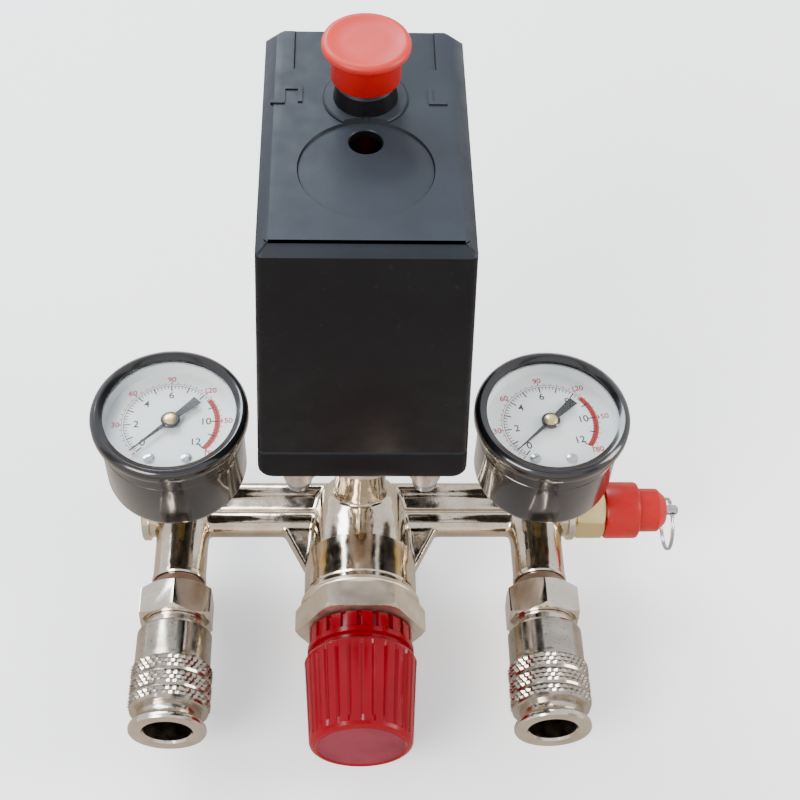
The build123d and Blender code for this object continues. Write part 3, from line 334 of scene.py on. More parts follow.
@dataclass(frozen=True)
class Moulded(Finish):
    """Coloured plastic, enamel or rubber.

    Attributes:
        colour: Its colour.
        shade: Colour of its slightly darker flow patches.
        bloom: Colour of dust and of a painted sky-light sheen on what faces up; pale scuffs take
            this colour too.
        blooming: Share of that colour on what faces up.
        roughness: Roughness where it is glossiest.
        grain: Size of its texture in millimetres.
        grain_depth: Depth of its texture in millimetres.
        scuffs: Share of pale scuffs.
        coat: Weight of a clear gloss.
        shine: How strongly it mirrors, 0.5 for common plastic.
    """

    colour: Colour = (0.5, 0.02, 0.02)
    shade: Colour = (0.35, 0.01, 0.01)
    bloom: Colour = (0.5, 0.5, 0.5)
    blooming: float = 0.0
    roughness: float = 0.3
    grain: float = 0.5
    grain_depth: float = 0.02
    scuffs: float = 0.0
    coat: float = 0.0
    shine: float = 0.5

    def fill(self, recipe: Recipe) -> None:
        """Adds flow patches, dust with a painted sky-light sheen on upward faces, scuffs and
        texture.

        Args:
            recipe: The material being built.
        """
        flow = recipe.blend(
            recipe.spread(recipe.noise(14.0, 3.0), 0.35, 0.65, 0.0, 1.0), self.colour, self.shade
        )
        # Upward faces get dust plus a painted sky-light sheen: lighter tops painted in, not lit.
        sheen_and_dust_mask = recipe.times(
            recipe.upward(),
            recipe.spread(recipe.noise(16.0, 7.0), 0.3, 0.7, self.blooming * 0.75, self.blooming)
        )
        sheened_and_dusty = recipe.blend(sheen_and_dust_mask, flow, self.bloom)
        scuffs = recipe.spread(
            recipe.noise(1.6, 4.0, (1.0, 0.35, 1.0)), 0.66, 0.76, 0.0, self.scuffs
        )
        recipe.set(
            Base_Color=recipe.blend(scuffs, sheened_and_dusty, self.bloom),
            Roughness=recipe.spread(
                recipe.noise(5.0, 6.0), 0.3, 0.7, self.roughness, self.roughness + 0.14
            ),
            Specular_IOR_Level=self.shine,
            Coat_Weight=self.coat,
            Coat_Roughness=0.04,
        )
        recipe.bump(recipe.noise(self.grain, 2.0), 0.4, self.grain_depth)
        recipe.bump(recipe.noise(9.0, 1.0), 0.15, 0.12)


@dataclass(frozen=True)
class Printed(Finish):
    """Painted sheet or printing ink.

    Attributes:
        colour: Its colour.
        fading: Colour where it is thin or dirty.
        roughness: Its roughness.
    """

    colour: Colour = (0.8, 0.8, 0.8)
    fading: Colour = (0.7, 0.7, 0.68)
    roughness: float = 0.35

    def fill(self, recipe: Recipe) -> None:
        """Adds faint clouds and a little texture.

        Args:
            recipe: The material being built.
        """
        clouds = recipe.spread(recipe.noise(4.0, 6.0), 0.4, 0.75, 0.0, 1.0)
        recipe.set(
            Base_Color=recipe.blend(clouds, self.colour, self.fading),
            Roughness=recipe.spread(
                recipe.noise(1.0, 3.0), 0.3, 0.7, self.roughness, self.roughness + 0.1
            ),
        )
        recipe.bump(recipe.noise(0.4, 2.0), 0.1, 0.02)


@dataclass(frozen=True)
class Clear(Finish):
    """Thin gauge glass.

    Attributes:
        veil: Share of light that the glass sends back.
    """

    veil: float = 0.014

    def fill(self, recipe: Recipe) -> None:
        """Adds a faint uneven veil over what is behind.

        Args:
            recipe: The material being built.
        """
        recipe.set(
            Base_Color=(0.92, 0.96, 0.97, 1.0),
            Metallic=1.0,
            Roughness=recipe.spread(recipe.noise(6.0, 4.0), 0.3, 0.7, 0.02, 0.09),
            Alpha=recipe.spread(
                recipe.noise(8.0, 3.0), 0.3, 0.7, self.veil * 0.8, self.veil * 1.2
            ),
        )


@dataclass(frozen=True)
class Backdrop(Finish):
    """Matt studio paper.

    Attributes:
        colour: Its colour.
        shade: Colour of its faint clouds.
        size: Size of the clouds in millimetres.
        glow: Strength of the light that shines through it.
    """

    colour: Colour = (0.98, 0.98, 0.98)
    shade: Colour = (0.96, 0.96, 0.96)
    size: float = 300.0
    glow: float = 0.35

    def fill(self, recipe: Recipe) -> None:
        """Adds faint clouds.

        Args:
            recipe: The material being built.
        """
        recipe.set(
            Base_Color=recipe.blend(recipe.noise(self.size, 2.0), self.colour, self.shade),
            Roughness=0.9, Specular_IOR_Level=0.1, Emission_Color=(1.0, 1.0, 1.0, 1.0),
            Emission_Strength=self.glow
        )


# The nickel colours are warmed: partly the plating's own tint, partly a painted warm-brown
# reflection.
CAST_NICKEL = Plated("cast_nickel", ripple=7.0, ripple_depth=0.5, roughness=0.07, staining=0.45)
TURNED_NICKEL = Plated(
    "turned_nickel", colour=(0.66, 0.6, 0.52), roughness=0.09, ripple=12.0, ripple_depth=0.08,
    grain=(0.2, 4.0, 0.2), staining=0.3
)
SATIN_NICKEL = Plated(
    "satin_nickel", colour=(0.78, 0.7, 0.58), roughness=0.36, ripple=10.0, ripple_depth=0.08,
    staining=0.3
)
KNURLED_NICKEL = Plated(
    "knurled_nickel", colour=(0.46, 0.42, 0.36), stain=(0.14, 0.11, 0.08), roughness=0.12,
    ripple_depth=0.03, staining=0.6
)
BRASS = Plated(
    "brass", colour=(0.72, 0.5, 0.2), stain=(0.35, 0.22, 0.08), roughness=0.16, ripple_depth=0.05
)
BRIGHT_STEEL = Plated(
    "bright_steel", colour=(0.56, 0.58, 0.6), stain=(0.3, 0.3, 0.3), ripple_depth=0.05
)
SPRING_WIRE = Plated(
    "spring_wire", colour=(0.4, 0.4, 0.42), stain=(0.2, 0.18, 0.15), roughness=0.25
)
PALE_ALLOY = Plated(
    "pale_alloy", colour=(0.72, 0.66, 0.65), stain=(0.55, 0.48, 0.46), roughness=0.38, ripple=3.0,
    ripple_depth=0.12
)
SEALANT = Moulded(
    "thread_sealant", colour=(0.16, 0.09, 0.05), shade=(0.09, 0.05, 0.03), roughness=0.45,
    grain=1.0, grain_depth=0.15
)
# Its slate-blue top colour is dust plus a painted sky-light sheen.
HOUSING = Moulded(
    "housing_black", colour=(0.004, 0.004, 0.0055), shade=(0.003, 0.003, 0.004),
    bloom=(0.032, 0.04, 0.052), blooming=0.8, roughness=0.34, grain=0.35, grain_depth=0.03,
    scuffs=0.2, shine=0.14
)
ENAMEL = Moulded(
    "gloss_enamel", colour=(0.006, 0.006, 0.007), shade=(0.004, 0.004, 0.005), roughness=0.12,
    grain=2.0, grain_depth=0.01, coat=0.6
)
RUBBER = Moulded(
    "rubber", colour=(0.02, 0.02, 0.02), shade=(0.03, 0.03, 0.03), roughness=0.6, grain_depth=0.05
)
INNER_PLASTIC = Moulded(
    "inner_plastic", colour=(0.03, 0.03, 0.035), shade=(0.05, 0.05, 0.05), roughness=0.45
)
# The brighter red on its top is a painted highlight.
BUTTON_RED = Moulded(
    "button_red", colour=(0.34, 0.003, 0.0015), shade=(0.29, 0.0025, 0.001),
    bloom=(0.72, 0.04, 0.025), blooming=0.7, shine=0.35, roughness=0.36, grain_depth=0.015
)
CAP_RED = Moulded(
    "cap_red", colour=(0.36, 0.002, 0.0015), shade=(0.27, 0.0015, 0.001), roughness=0.26,
    shine=0.35
)
CRIMSON = Moulded(
    "crimson", colour=(0.19, 0.0002, 0.006), shade=(0.15, 0.0001, 0.004), roughness=0.1, grain=1.5,
    grain_depth=0.008, shine=0.2
)
CRIMSON_END = Moulded(
    "crimson_end", colour=(0.17, 0.01, 0.024), shade=(0.12, 0.006, 0.016), shine=0.25,
    roughness=0.5, grain=0.6, grain_depth=0.04
)
DIAL_PAINT = Printed("dial_paint", colour=(0.74, 0.78, 0.78), fading=(0.68, 0.73, 0.74))
BLACK_INK = Printed("black_ink", colour=(0.004, 0.004, 0.005), fading=(0.01, 0.01, 0.012))
RED_INK = Printed("red_ink", colour=(0.42, 0.018, 0.012), fading=(0.36, 0.018, 0.014))
GLASS = Clear("gauge_glass")


# ------------------------------------------------------------------ workpieces
def deselect() -> None:
    """Deselects every object."""
    bpy.ops.object.select_all(action="DESELECT")


@dataclass(frozen=True)
class Extent:
    """Space that CAD nodes take up at rest, in millimetres.

    Attributes:
        low: Lowest corner.
        high: Highest corner.
    """

    low: Vector
    high: Vector

    @classmethod
    def of(cls, *nodes: str) -> "Extent":
        """Reads nodes from the frame.

        Args:
            *nodes: Names of the nodes.

        Returns:
            The space they share.
        """
        corners = [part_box(node) for node in nodes]
        low = Vector([min(corner[0][i] for corner in corners) for i in range(3)])
        high = Vector([max(corner[1][i] for corner in corners) for i in range(3)])
        return cls(low / MILLIMETRE, high / MILLIMETRE)

    @property
    def centre(self) -> Vector:
        """Middle of the space."""
        return (self.low + self.high) / 2


class Workpiece:
    """One mesh being modelled in millimetres, about its own upright axis."""

    def __init__(self, name: str) -> None:
        """Takes over the active object.

        Args:
            name: The piece's name.
        """
        self.obj = bpy.context.object
        self.obj.name = name

    def activate(self) -> None:
        """Makes this the only selected object, and the active one."""
        deselect()
        self.obj.select_set(True)
        bpy.context.view_layer.objects.active = self.obj

    @classmethod
    def turned(
        cls, name: str, profile: Profile, sides: int = 96, closed: bool = False
    ) -> "Workpiece":
        """Turns a profile about the axis.

        Args:
            name: The piece's name.
            profile: Stations along the axis and radii.
            sides: How many sides it is turned with.
            closed: True for a ring, whose profile returns to its start.

        Returns:
            The turned piece.
        """
        deselect()
        station, radius = profile[0]
        fill = "NOTHING" if closed else "NGON"
        bpy.ops.mesh.primitive_circle_add(vertices=sides, radius=radius, fill_type=fill)
        piece = cls(name)
        bpy.ops.object.mode_set(mode="EDIT")
        bpy.ops.mesh.select_all(action="SELECT")
        bpy.ops.transform.translate(value=(0, 0, station))
        for next_station, next_radius in [*profile[1:], *([profile[0]] if closed else [])]:
            bpy.ops.mesh.extrude_region_move(
                TRANSFORM_OT_translate={"value": (0, 0, next_station - station)}
            )
            ratio = next_radius / radius
            bpy.ops.transform.resize(value=(ratio, ratio, 1), center_override=(0, 0, next_station))
            station, radius = next_station, next_radius
        bpy.ops.mesh.select_all(action="SELECT")
        if closed:
            bpy.ops.mesh.remove_doubles(threshold=0.0005)
        bpy.ops.mesh.normals_make_consistent(inside=False)
        bpy.ops.object.mode_set(mode="OBJECT")
        return piece

    @classmethod
    def tapered(
        cls, name: str, low_size: tuple[float, float], high_size: tuple[float, float],
        start: float, end: float
    ) -> "Workpiece":
        """A block whose two ends may differ in size.

        Args:
            name: The piece's name.
            low_size: Width and depth at the start.
            high_size: Width and depth at the end.
            start: Station of its lower face.
            end: Station of its upper face.

        Returns:
            The block.
        """
        deselect()
        bpy.ops.mesh.primitive_cube_add(size=1)
        piece = cls(name)
        bpy.ops.object.mode_set(mode="EDIT")
        bpy.ops.mesh.select_all(action="SELECT")
        bpy.ops.transform.resize(value=(*low_size, end - start), center_override=(0, 0, 0))
        bpy.ops.transform.translate(value=(0, 0, (start + end) / 2))
        bpy.ops.object.mode_set(mode="OBJECT")
        ratio = (high_size[0] / low_size[0], high_size[1] / low_size[1], 1)
        piece.reshape(lambda co: co.z > (start + end) / 2, ratio, end)
        return piece

    @classmethod
    def block(cls, name: str, size: tuple[float, float], start: float, end: float) -> "Workpiece":
        """A straight block.

        Args:
            name: The piece's name.
            size: Its width and depth.
            start: Station of its lower face.
            end: Station of its upper face.

        Returns:
            The block.
        """
        return cls.tapered(name, size, size, start, end)

    @classmethod
    def nut(
        cls, name: str, across_flats: float, start: float, end: float, corner_up: bool,
        cut: float = 1.0
    ) -> "Workpiece":
        """A hexagon with its corners chamfered by turning.

        Args:
            name: The piece's name.
            across_flats: Size across its flats.
            start: Station where it starts.
            end: Station where it ends.
            corner_up: True if a corner is up, False if a flat is.
            cut: Share of each corner that the chamfer takes.

        Returns:
            The hexagon.
        """
        corner = across_flats / math.sqrt(3)
        flat = across_flats / 2
        hexagon = cls.turned(name, [(start, corner), (end, corner)], sides=6)
        if not corner_up:
            hexagon.turn(math.pi / 6)
        rise = (corner - flat) * 0.75 * cut
        rim = corner - (corner - flat * 0.985) * cut
        cone = cls.turned(
            "cone",
            [(start, rim), (start + rise, corner * 1.01), (end - rise, corner * 1.01), (end, rim)],
            sides=120
        )
        return hexagon.combine(cone, Cut.KEEP_SHARED)

    @classmethod
    def lettering(cls, name: str, words: str, size: float) -> "Workpiece":
        """Flat letters of printing ink, centred on their place.

        Args:
            name: The piece's name.
            words: What is printed.
            size: Height of a line in millimetres.

        Returns:
            The letters.
        """
        deselect()
        bpy.ops.object.text_add()
        text = bpy.context.object
        text.data.body = words
        text.data.size = size
        text.data.align_x = "CENTER"
        text.data.align_y = "CENTER"
        text.data.extrude = 0.02
        text.data.offset = 0.035
        bpy.ops.object.convert(target="MESH")
        return cls(name)

    def turn(self, angle: float) -> "Workpiece":
        """Turns the piece about its own axis.

        Args:
            angle: Angle in radians, anticlockwise from above.

        Returns:
            This piece.
        """
        return self.move(Matrix.Rotation(angle, 4, "Z"))

    def shift(self, x: float, y: float, z: float = 0.0) -> "Workpiece":
        """Moves the piece.

        Args:
            x: Distance along X.
            y: Distance along Y.
            z: Distance along Z.

        Returns:
            This piece.
        """
        return self.move(Matrix.Translation((x, y, z)))

    def move(self, matrix: Matrix) -> "Workpiece":
        """Moves or turns the piece and keeps that in its mesh.

        Args:
            matrix: Where it goes.

        Returns:
            This piece.
        """
        self.activate()
        self.obj.matrix_world = matrix
        bpy.ops.object.transform_apply(location=True, rotation=True, scale=True)
        return self

    def _pick(self, chosen: Callable[[Vector], bool]) -> None:
        """Opens the mesh with some vertices selected.

        Args:
            chosen: Tells whether a vertex at that place is selected.
        """
        self.activate()
        mesh = self.obj.data
        for items in (mesh.polygons, mesh.edges):
            items.foreach_set("select", [False] * len(items))
        mesh.vertices.foreach_set("select", [bool(chosen(v.co)) for v in mesh.vertices])
        bpy.context.tool_settings.mesh_select_mode = (True, False, False)
        bpy.ops.object.mode_set(mode="EDIT")

    def reshape(
        self, chosen: Callable[[Vector], bool], ratio: tuple[float, float, float], station: float
    ) -> "Workpiece":
        """Resizes some vertices about the axis.

        Args:
            chosen: Tells whether a vertex at that place is resized.
            ratio: New size over old along each axis.
            station: Station that stays where it is.

        Returns:
            This piece.
        """
        self._pick(chosen)
        bpy.ops.transform.resize(value=ratio, center_override=(0, 0, station))
        bpy.ops.object.mode_set(mode="OBJECT")
        return self

    def discard(self, chosen: Callable[[Vector], bool]) -> "Workpiece":
        """Deletes some vertices and the faces on them.

        Args:
            chosen: Tells whether a vertex at that place goes.

        Returns:
            This piece.
        """
        self._pick(chosen)
        bpy.ops.mesh.delete(type="VERT")
        bpy.ops.object.mode_set(mode="OBJECT")
        return self

    def round_edges(
        self, chosen: Callable[[Vector, Vector], bool], width: float, segments: int
    ) -> "Workpiece":
        """Bevels some edges.

        Args:
            chosen: Tells from an edge's middle and direction whether it is bevelled.
            width: Width of the bevel.
            segments: 1 for a chamfer, more for a round.

        Returns:
            This piece.
        """
        self.activate()
        mesh = self.obj.data
        mesh.polygons.foreach_set("select", [False] * len(mesh.polygons))
        mesh.vertices.foreach_set("select", [False] * len(mesh.vertices))
        for edge in mesh.edges:
            first, second = (mesh.vertices[i].co for i in edge.vertices)
            edge.select = chosen((first + second) / 2, (second - first).normalized())
        bpy.context.tool_settings.mesh_select_mode = (False, True, False)
        bpy.ops.object.mode_set(mode="EDIT")
        bpy.ops.mesh.bevel(offset=width, segments=segments, affect="EDGES")
        bpy.ops.object.mode_set(mode="OBJECT")
        return self

    def _apply(self, kind: str, **settings: object) -> None:
        """Applies one modifier.

        Args:
            kind: The modifier's type.
            **settings: Its settings.
        """
        self.activate()
        modifier = self.obj.modifiers.new(kind.lower(), kind)
        for name, value in settings.items():
            setattr(modifier, name, value)
        bpy.ops.object.modifier_apply(modifier=modifier.name)

    def soften(self, width: float, segments: int = 2, angle: float = 30.0) -> "Workpiece":
        """Rounds every sharp edge.

        Args:
            width: Width of the rounding.
            segments: Segments in the rounding.
            angle: Angle in degrees from which an edge counts as sharp.

        Returns:
            This piece.
        """
        self._apply(
            "BEVEL", width=width, segments=segments, limit_method="ANGLE",
            angle_limit=math.radians(angle)
        )
        return self

    def combine(self, other: "Workpiece", how: Cut = Cut.JOIN) -> "Workpiece":
        """Combines this piece with another, which is used up.

        Args:
            other: The other piece.
            how: Whether they are joined, cut or only their shared part is kept.

        Returns:
            This piece.
        """
        self._apply("BOOLEAN", operation=how.value, solver="EXACT", object=other.obj)
        bpy.data.objects.remove(other.obj)
        return self

    def gather(self, others: Sequence["Workpiece"]) -> "Workpiece":
        """Takes other pieces' meshes into this one, without cutting them.

        Args:
            others: The other pieces.

        Returns:
            This piece.
        """
        deselect()
        for other in others:
            other.obj.select_set(True)
        self.obj.select_set(True)
        bpy.context.view_layer.objects.active = self.obj
        bpy.ops.object.join()
        return self

    def cast(self, grain: float, passes: int) -> "Workpiece":
        """Melts joined shapes into one casting with soft inner corners.

        Args:
            grain: Size of the casting's mesh.
            passes: How often it is smoothed.

        Returns:
            This piece.
        """
        self.activate()
        self.obj.data.remesh_voxel_size = grain
        bpy.ops.object.voxel_remesh()
        self._apply("SMOOTH", factor=0.5, iterations=passes)
        return self

    def settle(
        self, finish: Finish, body: str, slot: Slot, facing: Facing = Facing.UP,
        origin: Vector | None = None, stands_for: Sequence[str] = (), sharp_above: float = 32.0
    ) -> "Workpiece":
        """Puts the finished piece in the frame.

        Args:
            finish: Its finish.
            body: CAD body that it moves with.
            slot: Its material slot; not used.
            facing: Where its own axis points.
            origin: Where its own origin goes, in millimetres.
            stands_for: CAD nodes that it replaces.
            sharp_above: Angle in degrees from which an edge stays sharp.

        Returns:
            This piece.
        """
        self.move(Matrix.Scale(MILLIMETRE, 4) @ facing.matrix(origin or Vector()))
        bpy.ops.object.shade_smooth_by_angle(angle=math.radians(sharp_above))
        self.obj.data.materials.clear()
        self.obj.data.materials.append(finish.material())
        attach(self.obj, body)
        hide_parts(*stands_for)
        return self


# ------------------------------------------------------------------ pressure switch
@dataclass
class SwitchBox:
    """Drafted black housing on its tray.

    Attributes:
        draft: How far a wall leans in per millimetre of height.
        front_round: Radius of the front upright corners.
        rear_cut: Chamfer of the rear upright corners.
        top_cut: Chamfer round the top face.
        belly_round: Radius of the tray's lower side edges.
        wall: Wall thickness.
        dish_radius: Radius of the sunk dish on top.
        dish_y: Middle of the dish.
        well_y: Middle of the screw well.
        well_radius: Radius of the screw well.
        label_y: Middle of the sunk label panel.
        label_size: Width and depth of the label panel.
        collar_radius: Radius of the knob's collar.
        knob_hole: Radius of the hole that the knob's stem runs in.
        floor: Thickness of the tray's floor.
        cable_hole: Place along X, place along Y and radius of a cable hole.
        bolt_hole: Distance of a bolt hole from the middle along X and Y, and its radius.
        plunger_hole: Radius of the hole for the plunger.
        disc_seat: Radius and depth of the diaphragm's seat.
    """

    draft: float = 0.0356
    front_round: float = 1.6
    rear_cut: float = 3.5
    top_cut: float = 2.8
    belly_round: float = 4.2
    wall: float = 2.4
    dish_radius: float = 15.5
    dish_y: float = 5.9
    well_y: float = 15.3
    well_radius: float = 4.0
    label_y: float = 47.8
    label_size: tuple[float, float] = (34.0, 14.6)
    collar_radius: float = 7.0
    knob_hole: float = 3.1
    floor: float = 3.0
    cable_hole: tuple[float, float, float] = (18.4, 29.5, 5.4)
    bolt_hole: tuple[float, float] = (17.0, 2.05)
    plunger_hole: float = 8.1
    disc_seat: tuple[float, float] = (14.5, 1.5)

    def __post_init__(self) -> None:
        """Reads the housing's place."""
        self.base = Extent.of("switch_base")
        self.cover = Extent.of("switch_cover")
        self.knob = Extent.of("on_off_knob")
        self.top = self.cover.high.z - 5.6
        self.size = (self.base.high.x - self.base.low.x, self.base.high.y - self.base.low.y)

    def shell(
        self, name: str, start: float, end: float, inset: float = 0.0, belly: float = 0.0
    ) -> Workpiece:
        """A slice of the drafted housing.

        Args:
            name: The piece's name.
            start: Height where it starts.
            end: Height where it ends.
            inset: How far its walls stand in.
            belly: Radius of its lower side edges, 0 for sharp ones.

        Returns:
            The solid slice, centred on the axis.
        """
        sizes = [
            tuple(side - 2 * (inset + self.draft * (z - self.base.low.z)) for side in self.size)
            for z in (start, end)
        ]
        block = Workpiece.tapered(name, *sizes, start, end)
        if belly:
            block.round_edges(
                lambda middle, way: middle.z < start + 0.01 and abs(way.y) > 0.99, belly, 8
            )
            return block.soften(self.front_round, 3, 40.0)
        block.round_edges(lambda middle, way: abs(way.z) > 0.9 and middle.y > 0, self.rear_cut, 1)
        return block.round_edges(
            lambda middle, way: abs(way.z) > 0.9 and middle.y < 0, self.front_round, 4
        )

    def build_cover(self) -> None:
        """Builds the cover with its dish, label panel, screw well and collar."""
        middle = self.base.centre
        cover = self.shell("switch_cover_shell", self.cover.low.z, self.top)
        cover.round_edges(
            lambda place, way: place.z > self.top - 0.01 and abs(way.z) < 0.01, self.top_cut, 1
        )
        cover.soften(0.35, 2, 28.0)
        hollow = self.shell("hollow", self.cover.low.z - 1, self.top - self.top_cut, self.wall)
        cover.combine(hollow, Cut.REMOVE)
        foot = [
            (self.top - 1.5, 10.2), (self.top + 0.35, 10.2), (self.top + 0.7, 9.8),
            (self.top + 0.7, 7.7), (self.top + 5.0, self.collar_radius),
            (self.top + 5.6, self.collar_radius - 0.6),
        ]
        knob_y = self.knob.centre.y - middle.y
        cover.combine(Workpiece.turned("collar", foot).shift(0, knob_y))
        bore = Workpiece.turned(
            "bore", [(self.top - 9, self.knob_hole), (self.top + 9, self.knob_hole)]
        )
        cover.combine(bore.shift(0, knob_y), Cut.REMOVE)
        dish = [(self.top - 0.6, self.dish_radius), (self.top + 1, self.dish_radius + 0.8)]
        well = [
            (self.top - 40, self.well_radius), (self.top - 0.9, self.well_radius),
            (self.top + 1, self.well_radius + 1.6),
        ]
        for profile, y in ((dish, self.dish_y), (well, self.well_y)):
            cutter = Workpiece.turned("cutter", profile).shift(0, y - middle.y)
            cover.combine(cutter, Cut.REMOVE)
        wide, deep = self.label_size
        label = Workpiece.tapered(
            "label", (wide, deep), (wide + 1.6, deep + 1.6), self.top - 0.6, self.top + 1
        )
        cover.combine(label.shift(0, self.label_y - middle.y), Cut.REMOVE)
        for mark in self.marks():
            cover.combine(mark.shift(0, -middle.y))
        cover.settle(
            HOUSING, "root", Slot.HOUSING, origin=Vector((0, middle.y, 0)),
            stands_for=["switch_cover"]
        )

    def marks(self) -> list[Workpiece]:
        """Raised strokes moulded beside the collar.

        Returns:
            The strokes, in place.
        """
        low, high = self.top - 0.5, self.top + 0.35
        places = {
            "upper": ((5.0, 1.1), (-17.5, 33.0)),
            "inner": ((1.1, 5.0), (-15.5, 30.5)),
            "outer": ((1.1, 5.0), (-19.6, 30.5)),
            "foot": ((3.4, 1.1), (-20.8, 28.0)),
            "right": ((1.1, 5.0), (15.5, 30.5)),
            "right_foot": ((4.4, 1.1), (17.2, 28.0)),
        }
        return [
            Workpiece.block(name, size, low, high).shift(*place)
            for name, (size, place) in places.items()
        ]

    def build_base(self) -> None:
        """Builds the tray with its floor, bolt holes and cable holes."""
        middle = self.base.centre
        low, high = self.base.low.z, self.base.high.z
        tray = self.shell("switch_tray", low, high, belly=self.belly_round)
        tray.combine(self.shell("hollow", low + self.floor, high + 1, self.wall), Cut.REMOVE)
        cable_x, cable_y, cable_radius = self.cable_hole
        bolt, bolt_radius = self.bolt_hole
        holes = [
            (0.0, 0.0, self.plunger_hole),
            *((side * cable_x, cable_y, cable_radius) for side in (-1, 1)),
            *((x * bolt, y * bolt, bolt_radius) for x in (-1, 1) for y in (-1, 1)),
        ]
        for x, y, radius in holes:
            hole = Workpiece.turned("hole", [(low - 1, radius), (low + 9, radius)], sides=48)
            tray.combine(hole.shift(x, y - middle.y), Cut.REMOVE)
        radius, depth = self.disc_seat
        seat = Workpiece.turned("seat", [(low - 1, radius), (low + depth, radius)])
        tray.combine(seat.shift(0, -middle.y), Cut.REMOVE)
        tray.settle(
            HOUSING, "root", Slot.HOUSING, origin=Vector((0, middle.y, 0)),
            stands_for=["switch_base"]
        )

    def build(self) -> None:
        """Builds the housing."""
        self.build_cover()
        self.build_base()


@dataclass
class OnOffKnob:
    """Red mushroom knob.

    Attributes:
        rim: Height of its top disc.
        skirt_radius: Radius of the skirt under the disc.
        stem_radius: Radius of its stem.
        length: Height of the disc and skirt together.
    """

    rim: float = 2.4
    skirt_radius: float = 8.3
    stem_radius: float = 3.0
    length: float = 10.4

    def build(self) -> None:
        """Builds the knob."""
        space = Extent.of("on_off_knob")
        top = space.high.z
        radius = (space.high.x - space.low.x) / 2
        under = top - self.length
        profile = [
            (space.low.z, self.stem_radius), (under + 6.2, self.stem_radius),
            (under + 6.2, self.skirt_radius - 1.1), (under, self.skirt_radius - 0.8),
            (under, self.skirt_radius - 0.3), (under + 0.3, self.skirt_radius),
            (top - self.rim - 1.0, self.skirt_radius - 0.15),
            (top - self.rim - 0.5, self.skirt_radius + 0.2), (top - self.rim, radius - 0.6),
            (top - self.rim + 0.5, radius - 0.1), (top - self.rim + 0.9, radius),
            (top - 0.9, radius - 0.05), (top - 0.35, radius - 0.3), (top - 0.05, radius - 0.9),
            (top, radius - 1.5), (top - 0.25, radius - 2.2), (top - 0.3, radius * 0.5),
            (top - 0.3, 0.05),
        ]
        knob = Workpiece.turned("on_off_mushroom", profile, sides=128)
        knob.settle(
            BUTTON_RED, "on_off_button", Slot.BUTTON,
            origin=Vector((space.centre.x, space.centre.y, 0)), stands_for=["on_off_knob"],
            sharp_above=50.0
        )


@dataclass
class PortFlange:
    """Pale die-cast flange under the box, with its four bolts.

    Attributes:
        hub_radius: Radius of its hub.
        lobe_radius: Radius of each lobe's end.
        lobe_place: Distance of each lobe from the middle, along X and along Y.
        bore: Radius of the bore that the riser stands in.
    """

    hub_radius: float = 15.7
    lobe_radius: float = 4.1
    lobe_place: float = 17.0
    bore: float = 7.5

    def build(self) -> None:
        """Builds the casting and the bolts."""
        space = Extent.of("port_flange")
        low, high = space.low.z, space.high.z
        profile = [(low, self.hub_radius - 2), (low + 2, self.hub_radius), (high, self.hub_radius)]
        casting = Workpiece.turned("port_flange_casting", profile)
        corners = [(x, y) for x in (-1, 1) for y in (-1, 1)]
        for x, y in corners:
            lobe = Workpiece.turned(
                "lobe",
                [
                    (low + 5.0, self.lobe_radius - 1.6), (low + 5.6, self.lobe_radius - 0.5),
                    (low + 6.6, self.lobe_radius), (high, self.lobe_radius),
                ],
                sides=48,
            )
            casting.combine(lobe.shift(x * self.lobe_place, y * self.lobe_place))
            arm = Workpiece.tapered(
                "arm", (2 * self.lobe_place, 6.4), (2 * self.lobe_place, 7.6), low + 5.6, high
            )
            arm.shift(self.lobe_place / 2, 0).turn(math.atan2(y, x))
            casting.combine(arm)
        bore = Workpiece.turned("bore", [(low - 1, self.bore), (high + 1, self.bore)])
        casting.combine(bore, Cut.REMOVE)
        casting.cast(0.6, 4)
        casting.settle(
            PALE_ALLOY, "root", Slot.ALLOY, stands_for=["port_flange"], sharp_above=60.0
        )
        bolts = Extent.of("flange_bolts")
        for number, (x, y) in enumerate(corners):
            self.build_bolt(number, bolts, x * self.lobe_place, y * self.lobe_place)

    def build_bolt(self, number: int, space: Extent, x: float, y: float) -> None:
        """Builds one slotted bolt.

        Args:
            number: Which bolt it is.
            space: Space that the four bolts take up.
            x: The bolt's place along X.
            y: The bolt's place along Y.
        """
        low = space.low.z
        profile = [
            (low, 1.6), (low + 0.4, 2.7), (low + 1.1, 3.4), (low + 2.8, 3.6), (low + 2.8, 2.0),
            (space.high.z, 2.0),
        ]
        bolt = Workpiece.turned(f"flange_bolt_{number}", profile, sides=48)
        slot = Workpiece.block("slot", (9.0, 0.9), low - 1, low + 1.2)
        bolt.combine(slot.turn(0.4 + number), Cut.REMOVE)
        names = ["flange_bolts"] if number == 0 else []
        bolt.settle(BRIGHT_STEEL, "root", Slot.STEEL, origin=Vector((x, y, 0)), stands_for=names)


